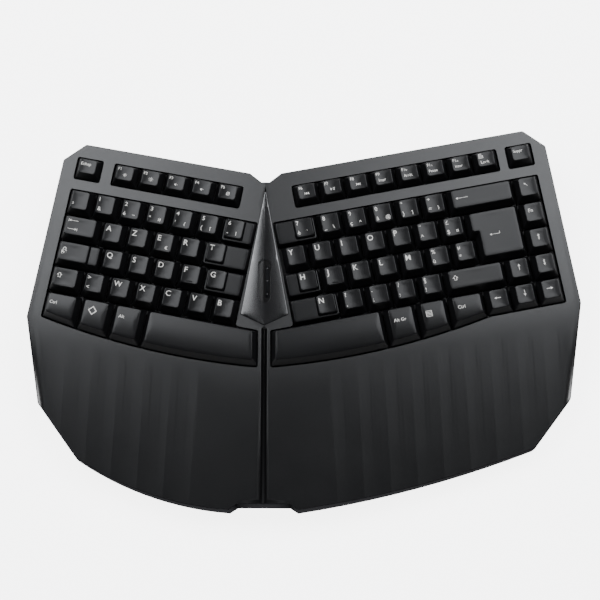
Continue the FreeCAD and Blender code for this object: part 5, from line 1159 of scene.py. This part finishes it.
STRIP_LEVEL, BACK_LEVEL = -12.05, -18.85
PLATE_SCREW = {"Head Radius": 2.2, "Head Height": 1.3, "Shank Radius": 1.1,
               "Length": 5.0, "Pitch": 0.5}
screw = screw_tree()
plate_screws = Shape()
for side in (LEFT, RIGHT):
    to_world = Matrix.Scale(1000, 4) @ FIELD[side]
    for columns, level in ((COVER_COLUMNS, STRIP_LEVEL), (BACK_COLUMNS, BACK_LEVEL)):
        places = [(x, y, level) for x, y in screw_places(side, columns)]
        points, faces = pieces_at(places, *screw, PLATE_SCREW, SCREW_STEEL)
        plate_screws.add_shell([tuple(to_world @ Vector(p)) for p in points], faces)
screws = plate_screws.object("plate_screws_set", Matrix.Scale(0.001, 4), SCREW_STEEL, SHARP)
settle(screws, "housing", "plate_screws")

# The housing's plan corners, from the ridge: the reach along the rows, and the places
# of the palm rests' side corner, front corner and front curve.
SIDE_REACH = {LEFT: 168.2, RIGHT: 224.0}
PALM_SIDE = {LEFT: (161.4, -53.4), RIGHT: (216.9, -48.7)}
PALM_FRONT = {LEFT: (133.5, -92.0), RIGHT: (190.7, -84.3)}
PALM_CURVE = {LEFT: (80.3, -118.5), RIGHT: (112.7, -110.5)}
COVER_PLACE = Matrix.Scale(0.001, 4) @ Matrix.Translation((RIDGE.x, RIDGE.y, 0))
CASE_REAR = {LEFT: (20.2, 90.2), RIGHT: (21.0, 96.0, 164.0)}
CASE_FRONT = (
    (LEFT, PALM_SIDE, 15.4, 5.4), (LEFT, PALM_CURVE, 18.3, 12.5),
    (RIGHT, PALM_SIDE, 12.9, 4.7), (RIGHT, PALM_FRONT, 58.7, -1.7),
    (RIGHT, PALM_CURVE, 67.7, 0.5),
)
CASE_REAR_LINE, CASE_LEVEL = 99.9, 4.6


# Plan place from the ridge: along the rows of one half and across them.
def across(side, out, back):
    x = out * math.cos(SPLAY) - back * math.sin(SPLAY)
    return Vector((side * x, out * math.sin(SPLAY) + back * math.cos(SPLAY)))


case_places = [tuple(across(side, SIDE_REACH[side] - room, CASE_REAR_LINE))
               for side in (LEFT, RIGHT) for room in CASE_REAR[side]]
for side, corners, room, back in CASE_FRONT:
    x, y = corners[side]
    case_places.append((side * (x - room), y + back))
case_screws = Shape()
places = [(x, y, CASE_LEVEL) for x, y in case_places]
case_screws.add_shell(*pieces_at(places, *screw, {}, SCREW_STEEL))
screws = case_screws.object("case_screws_set", COVER_PLACE, SCREW_STEEL, SHARP)
settle(screws, "housing", "case_screws")


# Top cover: an injection-moulded shell of black ABS with two fan-pleated palm rests. Its
# wells leave room round the keys, and it is screwed to the bottom cover from below.
HOUSING = plastic("housing_plastic", *INK_BLACK, (0.31, 0.37), 2600, 0.02)
# The cover's walls and steep faces get a copy of the housing plastic without reflection, so
# that they stay dark: painted shade.
HOUSING_SIDE_SHADE = plastic("housing_side_plastic", DULL_BLACK, (0.013, 0.013, 0.014),
                       (0.6, 0.7), 1900, 0.06, 0.0)
DECK_DROP = 5.5
PALM_START, PALM_FALL = 38.0, math.radians(5)
PLEAT_COUNT, PLEAT_START, PLEAT_WIDTH = {LEFT: 6, RIGHT: 9}, 47.0, 18.8
PLEAT_SPLAY = math.radians(3)
FRONT, REAR, WRIST = 129.9, 104.6, -26.5
PARTING, COVER_WALL = 7.0, 2.4
RIM, WELL_EDGE, RECESS_EDGE = 0.6, 0.2, 0.05
WELL_WALL, WELL_DEPTH, WELL_CORNER = 1.5, 4.4, 1.6
RECESS, INNER_DROP = 1.3, 3.7
GROOVE_HALF, GROOVE_END, GROOVE_SOFT, GROOVE_DEPTH = 1.75, -3.8, 0.5, 1.3
KITE = [(17.0, 6.2), (0.0, 99.0), (-17.0, 6.2), (0.0, -2.0)]
GRID_X, GRID_Y, GRID_ROOM = 3.1, 3.7, 1.1
SHADE_REACH = 0.3
ROLL_WIDTH, ROLL_NARROWS, ROLL_DEPTH = 10.0, 5.0, 4.5
FLUTE_START, FLUTE_GROWS, FLUTE_RUN_IN = 0.1, 0.3, 0.16
PALM_SOFT, RIDGE_SOFT = 1.5, 0.12
BEVEL, CORNER = 14.0, 2.5


def across_at(side, x, back):
    return across(side, (x + back * math.sin(SPLAY)) / math.cos(SPLAY), back)


def palm_corner(side, corners):
    return Vector((side * corners[side][0], corners[side][1]))


# A plane of the roof as its height over plan places.
def roof_plane(side, back, fall):
    turn = FIELD_TURN[side]
    base = turn @ Vector((0, back, -DECK_DROP)) + Vector((0, 0, RIDGE.z))
    normal = turn @ Matrix.Rotation(fall, 3, "X") @ Vector((0, 0, 1))
    fall_x, fall_y = normal.x / normal.z, normal.y / normal.z
    return lambda x, y: base.z - fall_x * (x - base.x) - fall_y * (y - base.y)


DECKS = {side: roof_plane(side, 0, 0) for side in (LEFT, RIGHT)}
PALMS = {side: roof_plane(side, -PALM_START, PALM_FALL) for side in (LEFT, RIGHT)}

# Pleats fan out forward from points on the line where the palm rests begin.
PLEATS = [
    (side, across_at(side, PLEAT_START + PLEAT_WIDTH * index, -PALM_START))
    for side in (LEFT, RIGHT) for index in range(PLEAT_COUNT[side])
]


def pleat_line(side, rear, y):
    return rear.x + side * math.tan(PLEAT_SPLAY) * (rear.y - y)


# Lower of two heights, with a rounded change from one to the other.
def softened(first, second, reach):
    share = np.clip(0.5 + (second - first) / (2 * reach), 0, 1)
    return second + (first - second) * share - reach * share * (1 - share)


def smooth_step(value):
    value = np.clip(value, 0, 1)
    return value * value * (3 - 2 * value)


# Rolled side of a palm rest. It starts level at the wrist corner, ten millimetres wide,
# and falls away more and more towards the palm corner.
def side_roll(side, x, y):
    wrist = across(side, SIDE_REACH[side], WRIST)
    palm = PALM_SIDE[side]
    share = np.clip((wrist.y - y) / (wrist.y - palm[1]), 0, 1.6)
    edge = abs(wrist.x) + (palm[0] - abs(wrist.x)) * share
    width = ROLL_WIDTH - ROLL_NARROWS * np.clip(share, 0, 1)
    out = np.clip((side * x - edge + width) / width, 0, 1.3)
    return ROLL_DEPTH * np.clip(share, 0, 1.1) * (0.3 * out + 0.7 * out ** 3)


# Shallow flutes between the pleat lines, from nothing where the palm rests begin.
def flutes(x, y):
    depth = np.zeros_like(x)
    for side, rear in PLEATS:
        share = (rear.y - y) / (rear.y + FRONT)
        run = side * (x - pleat_line(side, rear, y)) / PLEAT_WIDTH
        swell = FLUTE_START + FLUTE_GROWS * np.clip(share, 0, 1)
        swell = swell * smooth_step(share / FLUTE_RUN_IN)
        depth += np.where((run > 0) & (run < 1), 4 * swell * run * (1 - run), 0)
    return depth


def roof(x, y, fluted=True):
    halves = [softened(DECKS[side](x, y), PALMS[side](x, y), PALM_SOFT) for side in FIELD]
    height = softened(*halves, RIDGE_SOFT) - side_roll(LEFT, x, y) - side_roll(RIGHT, x, y)
    if not fluted:
        return height
    groove = smooth_step((GROOVE_HALF - abs(x)) / GROOVE_SOFT)
    groove = groove * smooth_step((GROOVE_END - y) / GROOVE_SOFT)
    return height - flutes(x, y) - GROOVE_DEPTH * groove


# Points of an arc through three points, without its ends.
def arc_through(start, middle, end, steps):
    a, b, c = start, middle, end
    spread = 2 * (a.x * (b.y - c.y) + b.x * (c.y - a.y) + c.x * (a.y - b.y))
    square = [p.length_squared / spread for p in (a, b, c)]
    hub = Vector((
        square[0] * (b.y - c.y) + square[1] * (c.y - a.y) + square[2] * (a.y - b.y),
        square[0] * (c.x - b.x) + square[1] * (a.x - c.x) + square[2] * (b.x - a.x)))
    turn = (a - hub).angle_signed(c - hub)
    return [hub + Matrix.Rotation(-turn * i / steps, 2) @ (a - hub) for i in range(1, steps)]


# Outline of the housing, anticlockwise, with the radius of each corner.
def housing_outline():
    half = {}
    for side in (LEFT, RIGHT):
        reach = SIDE_REACH[side]
        front_corner, tip = palm_corner(side, PALM_FRONT), Vector((side * 24.0, -FRONT))
        arc = arc_through(front_corner, palm_corner(side, PALM_CURVE), tip, 36)
        half[side] = [
            (Vector((side * 2.8, 102.2)), 0.6), (across_at(side, 11.2, REAR), 1.5),
            (across(side, reach - BEVEL, REAR), CORNER),
            (across(side, reach, REAR - BEVEL), CORNER),
            (across(side, reach, WRIST), CORNER), (palm_corner(side, PALM_SIDE), CORNER),
            (front_corner, 9.0), *((point, 0) for point in arc), (tip, 0.8),
            (Vector((side * 18.4, -126.2)), 0.8)]
    return half[LEFT] + list(reversed(half[RIGHT]))


def outline_ring(inward):
    places = housing_outline()
    corners = inset([p for p, r in places], [inward] * len(places))
    return rounded(corners, [max(0.0, r - inward) if r else 0 for p, r in places])


# Distance of many points from one line between two ends.
def clearance(start, end, points):
    base = np.array(start[:])
    run = np.array(end[:]) - base
    share = np.clip((points - base) @ run / max(1e-9, run @ run), 0, 1)
    return np.linalg.norm(points - base - share[:, None] * run, axis=1)


# Plan direction away from the faces at each point of a loop.
def away(points):
    found = []
    for i in range(len(points)):
        before = (points[i] - points[i - 1]).normalized()
        after = (points[(i + 1) % len(points)] - points[i]).normalized()
        both = Vector((before.y + after.y, -before.x - after.x))
        found.append(both.normalized() / max(0.5, both.length / 2))
    return found


# Share of a closed line's length at which each of its points stands.
def shares_along(spots):
    steps = [math.dist(a, b) for a, b in zip(spots, spots[1:])]
    return np.concatenate([[0], np.cumsum(steps)]) / sum(steps)


# Triangles between two loops that run side by side.
def zip_loops(shape, low, high):
    spot = shape.points
    first = min(range(len(low)), key=lambda i: math.dist(spot[low[i]], spot[high[0]]))
    low = low[first:] + low[:first + 1]
    high = high + high[:1]
    low_share = shares_along([spot[i][:2] for i in low])
    high_share = shares_along([spot[i][:2] for i in high])
    i = j = 0
    while i < len(low) - 1 or j < len(high) - 1:
        if j == len(high) - 1 or i < len(low) - 1 and low_share[i + 1] <= high_share[j + 1]:
            shape.faces.append((low[i], low[i + 1], high[j]))
            i += 1
        else:
            shape.faces.append((high[j + 1], high[j], low[i]))
            j += 1


# Lines that the roof's triangles keep to: pleats, flutes, groove, ridge and side rolls.
def roof_lines():
    lines = []
    for side, rear in PLEATS:
        front = -FRONT - 3
        for shift in (-0.5, 0.0, 0.5, 2.5, 4.7, 7.0, 9.4, 11.8, 14.1, 16.3):
            start = (rear.x + side * shift, rear.y)
            lines.append((start, (pleat_line(side, rear, front) + side * shift, front)))
    for x in (-1.75, -1.5, -1.25, 0.0, 1.25, 1.5, 1.75):
        lines.append(((x, GROOVE_END), (x, -FRONT)))
    for y in (-3.8, -4.05, -4.3):
        lines.append(((-GROOVE_HALF, y), (GROOVE_HALF, y)))
    for x in (-1.0, 0.0, 1.0):
        lines.append(((x, 110), (x, 99.4)))
    for side in (LEFT, RIGHT):
        wrist, palm = across(side, SIDE_REACH[side], WRIST), palm_corner(side, PALM_SIDE)
        for share in (1.0, 0.93, 0.75, 0.5, 0.3, 0.15):
            start = wrist - Vector((side * ROLL_WIDTH * share, 0))
            end = palm - Vector((side * (ROLL_WIDTH - ROLL_NARROWS) * share, 0))
            lines.append((start, end + (palm - wrist) * 0.9))
    return lines


# Edges of all wells, seen from above: the top edge and the outer face of the wall.
def well_edges():
    wells = []
    for side in (LEFT, RIGHT):
        for polygon in well_polygons(side):
            edges = []
            for grow in (WELL_EDGE, WELL_WALL):
                ring = rounded(inset(polygon, [-grow] * len(polygon)), WELL_CORNER + grow)
                places = [FIELD_TURN[side] @ Vector((p.x, p.y, -DECK_DROP)) for p in ring]
                edges.append([place.to_2d() for place in places])
            wells.append(edges)
    return wells


def build_cover():
    rim, inner_rim = outline_ring(RIM), outline_ring(COVER_WALL)
    wells = well_edges()
    recess = inset(KITE, [-RECESS_EDGE] * 4)
    rings = [rim, inner_rim, recess] + [ring for well in wells for ring in well]
    points, lines = closed_lines(rings)
    for ends in roof_lines():
        lines.append((len(points), len(points) + 1))
        points += [Vector(end) for end in ends]
    low, high = np.min(rim, axis=0), np.max(rim, axis=0)
    grid = np.meshgrid(np.arange(low[0], high[0], GRID_X), np.arange(low[1], high[1], GRID_Y))
    grid = np.stack(grid, -1).reshape(-1, 2)
    grid = grid[within(rim, grid)]
    for start, end in lines:
        grid = grid[clearance(points[start], points[end], grid) > GRID_ROOM]
    spots, faces, middles = triangles(points + [Vector(p) for p in grid], lines)
    in_recess = within(recess, middles)
    in_well = np.any([within(edge, middles) for edge, wall in wells], axis=0)
    in_wall = np.any([within(wall, middles) for edge, wall in wells], axis=0)
    shape = Shape()
    top = roof(spots[:, 0], spots[:, 1])
    plain = roof(spots[:, 0], spots[:, 1], fluted=False)
    kept = {}

    def point_at(index, level, heights, drop):
        if (level, index) not in kept:
            kept[level, index] = len(shape.points)
            shape.points.append((*spots[index], heights[index] - drop))
        return kept[level, index]

    def take(mask, level, heights, drop):
        return [tuple(point_at(i, level, heights, drop) for i in face)
                for face, wanted in zip(faces, mask) if wanted]

    top_faces = take(within(rim, middles) & ~in_well & ~in_recess, "top", top, 0)
    inner_faces = take(within(inner_rim, middles) & ~in_wall, "inner", plain, INNER_DROP)
    shape.faces += top_faces + [face[::-1] for face in inner_faces]
    inner_loops = border_loops(inner_faces)

    def size_of(loop):
        places = np.array([shape.points[i][:2] for i in loop])
        return places.mean(axis=0), np.ptp(places[:, 0])

    def nearest_inner(loop):
        spot, size = size_of(loop)

        def difference(other):
            middle, other_size = size_of(other)
            return np.linalg.norm(middle - spot) + abs(other_size - size)

        return min(inner_loops, key=difference)

    # Adds rings below a loop, each moved out and down or to a level, and joins them.
    def hang(loop, sides, steps, down=Vector((0, 0, -1))):
        last = loop
        for offset, fall, level in steps:
            ring = []
            for index, way in zip(loop, sides):
                x, y, z = shape.points[index]
                place = Vector((x + way.x * offset, y + way.y * offset, z)) + down * fall
                ring.append((place.x, place.y, place.z if level is None else level))
            ring = shape.add_ring(ring)
            shape.skin(ring, last)
            last = ring
        return last

    def quarter(radius):
        angles = [math.radians(a) for a in (18, 36, 54, 72, 90)]
        return [(radius * math.sin(a), radius * (1 - math.cos(a)), None) for a in angles]

    for loop in border_loops(top_faces):
        spread = [Vector(shape.points[i][:2]) for i in loop]
        sides = away(spread)
        middle, width = size_of(loop)
        if turns_left(spread):
            steps = [(RIM, 0, PARTING + 0.4), (RIM - 0.3, 0, PARTING),
                     (RIM - COVER_WALL, 0, PARTING)]
            last = hang(loop, sides, quarter(RIM) + steps)
        elif within(recess, middle[None])[0] and width < 40:
            steps = [(0.05, 0.02, None), (0.08, 0.08, None), (0.08, RECESS, None)]
            edge = dict(zip(loop, hang(loop, sides, steps)))
            for face, wanted in zip(faces, in_recess):
                if wanted:
                    keys = [kept.get(("top", i)) for i in face]
                    shape.faces.append(tuple(
                        edge[key] if key in edge else point_at(i, "recess", plain, RECESS)
                        for key, i in zip(keys, face)))
            continue
        else:
            down = -(FIELD_TURN[LEFT if middle[0] < 0 else RIGHT] @ Vector((0, 0, 1)))
            steps = [(WELL_EDGE, WELL_DEPTH, None), (WELL_EDGE - WELL_WALL, WELL_DEPTH, None)]
            last = hang(loop, sides, quarter(WELL_EDGE) + steps, down)
        zip_loops(shape, nearest_inner(loop), last)
    tops = [(index, spot) for (level, index), spot in kept.items() if level == "top"]
    return shape.object("cover_shell", COVER_PLACE, HOUSING), spots, tops


# The top's shading follows the roof itself, so that no triangle of the mesh shows.
def shade_top(item, spots, tops):
    x, y = spots[:, 0], spots[:, 1]
    reach = SHADE_REACH
    normals = np.zeros((len(item.data.vertices), 3))
    fall_x = (roof(x - reach, y) - roof(x + reach, y)) / (2 * reach)
    fall_y = (roof(x, y - reach) - roof(x, y + reach)) / (2 * reach)
    for index, spot in tops:
        normals[spot] = Vector((fall_x[index], fall_y[index], 1)).normalized()
    item.data.normals_split_custom_set_from_vertices(normals.tolist())


cover_shell, cover_spots, cover_tops = build_cover()
shade_top(cover_shell, cover_spots, cover_tops)
cover_shell.data.materials.append(HOUSING_SIDE_SHADE)
polygons = cover_shell.data.polygons
middles = np.array([tuple(COVER_PLACE.inverted() @ p.center)[:2] for p in polygons])
on_top = within(outline_ring(RIM + 0.02), middles)
# Steep faces and outer walls take the unreflecting copy: painted shade.
for polygon, top_face in zip(polygons, on_top):
    polygon.material_index = int(abs(polygon.normal.z) < (0.3 if top_face else 0.9))
settle(cover_shell, "housing", "top_cover")


# Centre fascia: a glossy black kite that snaps into the deck between the two key
# fields. Its facets swell slightly beside the ridge, and its edges are rounded.
gloss = Paint("gloss_plastic", IOR=1.72)
tone = gloss.blend(gloss.noise(60.0, 2.0), (0.004, 0.004, 0.0045), (0.007, 0.007, 0.008))
wiping = gloss.noise(2600.0, 2.0, gloss.mapped(Scale=(1.0, 0.12, 1.0)))
GLOSS = gloss.finish(tone, (0.13, 0.2), wiping, 0.15, 0.02)
FASCIA_PROUD, FASCIA_EDGE, FASCIA_DEPTH, FASCIA_ROOM = 0.3, 0.45, 1.2, 0.15
SWELL = 0.036
WINDOW_MIDDLE, WINDOW_WIDTH, WINDOW_LENGTH = 30.0, 8.8, 31.2


def stadium(width, length, steps=10):
    ring = []
    for way in (1, -1):
        for i in range(steps + 1):
            angle = math.pi * i / steps + (0 if way == 1 else math.pi)
            y = WINDOW_MIDDLE + way * (length - width) / 2 + width / 2 * math.sin(angle)
            ring.append(Vector((width / 2 * math.cos(angle), y)))
    return ring


def deck_height(x, y):
    return float(softened(DECKS[LEFT](x, y), DECKS[RIGHT](x, y), 0.02))


def fascia_height(x, y):
    (half, shoulder), (_, rear), _, (_, front) = KITE
    tip = rear if y > shoulder else front
    half = max(0.5, half * (tip - y) / (tip - shoulder))
    share = min(1.0, abs(x) / half)
    return deck_height(x, y) + FASCIA_PROUD + SWELL * half * share * (1 - share)


def build_fascia():
    shape = Shape()
    border = inset(KITE, [FASCIA_ROOM] * 4)
    rim = rounded(inset(border, [FASCIA_EDGE] * 4), [0.8, 0.2, 0.8, 0.5])
    hole = stadium(WINDOW_WIDTH, WINDOW_LENGTH)
    points, lines = closed_lines([rim, hole])
    for x in (-0.25, 0.0, 0.25):
        lines.append((len(points), len(points) + 1))
        points += [Vector((x, -1.0)), Vector((x, 96.0))]
    grid = np.meshgrid(np.arange(-17, 17.1, 1.0), np.arange(-1.5, 98, 2.0))
    grid = np.stack(grid, -1).reshape(-1, 2)
    grid = grid[within(rim, grid) & ~within(hole, grid)]
    spots, faces, middles = triangles(points + [Vector(p) for p in grid], lines)
    wanted = within(rim, middles) & ~within(hole, middles)
    taken = [face for face, keep in zip(faces, wanted) if keep]
    shape.add_shell([(x, y, fascia_height(x, y)) for x, y in spots], taken)
    below = {}
    for loop in border_loops(taken):
        spread = [Vector(shape.points[i][:2]) for i in loop]
        radius = FASCIA_EDGE if turns_left(spread) else 0.1
        rings = [loop]
        for angle in [math.radians(a) for a in (15, 30, 45, 60, 75, 90)]:
            ring = []
            for index, way in zip(loop, away(spread)):
                x, y, z = shape.points[index]
                out, fall = radius * math.sin(angle), radius * (1 - math.cos(angle))
                ring.append((x + way.x * out, y + way.y * out, z - fall))
            rings.append(shape.add_ring(ring))
        foot = [shape.points[i][:2] for i in rings[-1]]
        foot = [(x, y, deck_height(x, y) - FASCIA_DEPTH) for x, y in foot]
        rings.append(shape.add_ring(foot))
        shape.skin(*reversed(rings))
        below.update(zip(loop, rings[-1]))
    for i in sorted({i for face in taken for i in face} - set(below)):
        x, y, _ = shape.points[i]
        below[i], = shape.add_ring([(x, y, deck_height(x, y) - FASCIA_DEPTH)])
    shape.faces += [tuple(below[i] for i in face[::-1]) for face in taken]
    return shape


fascia = build_fascia().object("fascia_kite", COVER_PLACE, GLOSS)
settle(fascia, "housing", "centre_fascia")


# Indicator window: a smoked lens with rounded ends, a little below the fascia. The shaded
# slot behind it is painted on the lens as a dark strip, with a small mark for each light.
LENS_WIDTH, LENS_LENGTH, LENS_DROP, LENS_DEPTH = 8.2, 30.6, 0.15, 1.5
smoke = Paint("smoked_lens", IOR=1.5)
tone = smoke.blend(smoke.noise(220.0, 2.0), (0.003, 0.003, 0.0035), (0.008, 0.007, 0.007))
SMOKED_LENS = smoke.finish(tone, (0.12, 0.18))
window_shape = Shape()
rings = []
for inward, drop in ((0.0, LENS_DEPTH), (0.0, 0.25), (0.06, 0.18), (0.12, LENS_DROP)):
    ring = stadium(LENS_WIDTH - 2 * inward, LENS_LENGTH - 2 * inward)
    ring = [(p.x, p.y, deck_height(p.x, p.y) + FASCIA_PROUD - drop) for p in ring]
    rings.append(window_shape.add_ring(ring))
window_shape.skin(*rings)
inner = [Vector((x, WINDOW_MIDDLE + y))
         for x in (-2.6, -1.3, 0.0, 1.3, 2.6) for y in range(-12, 13, 3)]
window_shape.fill(rings[-1], inner, lambda x, y: deck_height(x, y) + FASCIA_PROUD - LENS_DROP)
window_shape.faces.append(tuple(reversed(rings[0])))
window = window_shape.object("window_lens", COVER_PLACE, SMOKED_LENS, 20)
settle(window, "housing", "indicator_window")


# Light slot: a black strip laid on the lens as painted shade of the slot behind it, and
# three glossy marks on it, one over each light. They lie on the right side of the ridge.
def strip_marks(name, places, lift, paint):
    shape = Shape()
    for x, y, width, length in places:
        ring = []
        for px, py in circle(x, y, width / 2):
            py += (length - width) / 2 * (1 if py - y >= -1e-9 else -1)
            ring.append((px, py, deck_height(px, py) + FASCIA_PROUD - LENS_DROP + lift))
        low = shape.add_ring([(px, py, z - 0.02) for px, py, z in ring])
        high = shape.add_ring(ring)
        shape.skin(low, high)
        shape.faces += [tuple(high), tuple(reversed(low))]
    settle(shape.object(name, COVER_PLACE, paint), "housing")


SLOT_X = 1.9
strip_marks("light_slot", [(SLOT_X, WINDOW_MIDDLE - 0.6, 2.6, 23.0)], 0.03, HOUSING_SIDE_SHADE)
marks = [(SLOT_X, WINDOW_MIDDLE + y, 1.5, 1.6) for y in (-9.4, 0.0, 9.0)]
strip_marks("light_marks", marks, 0.05, GLOSS)
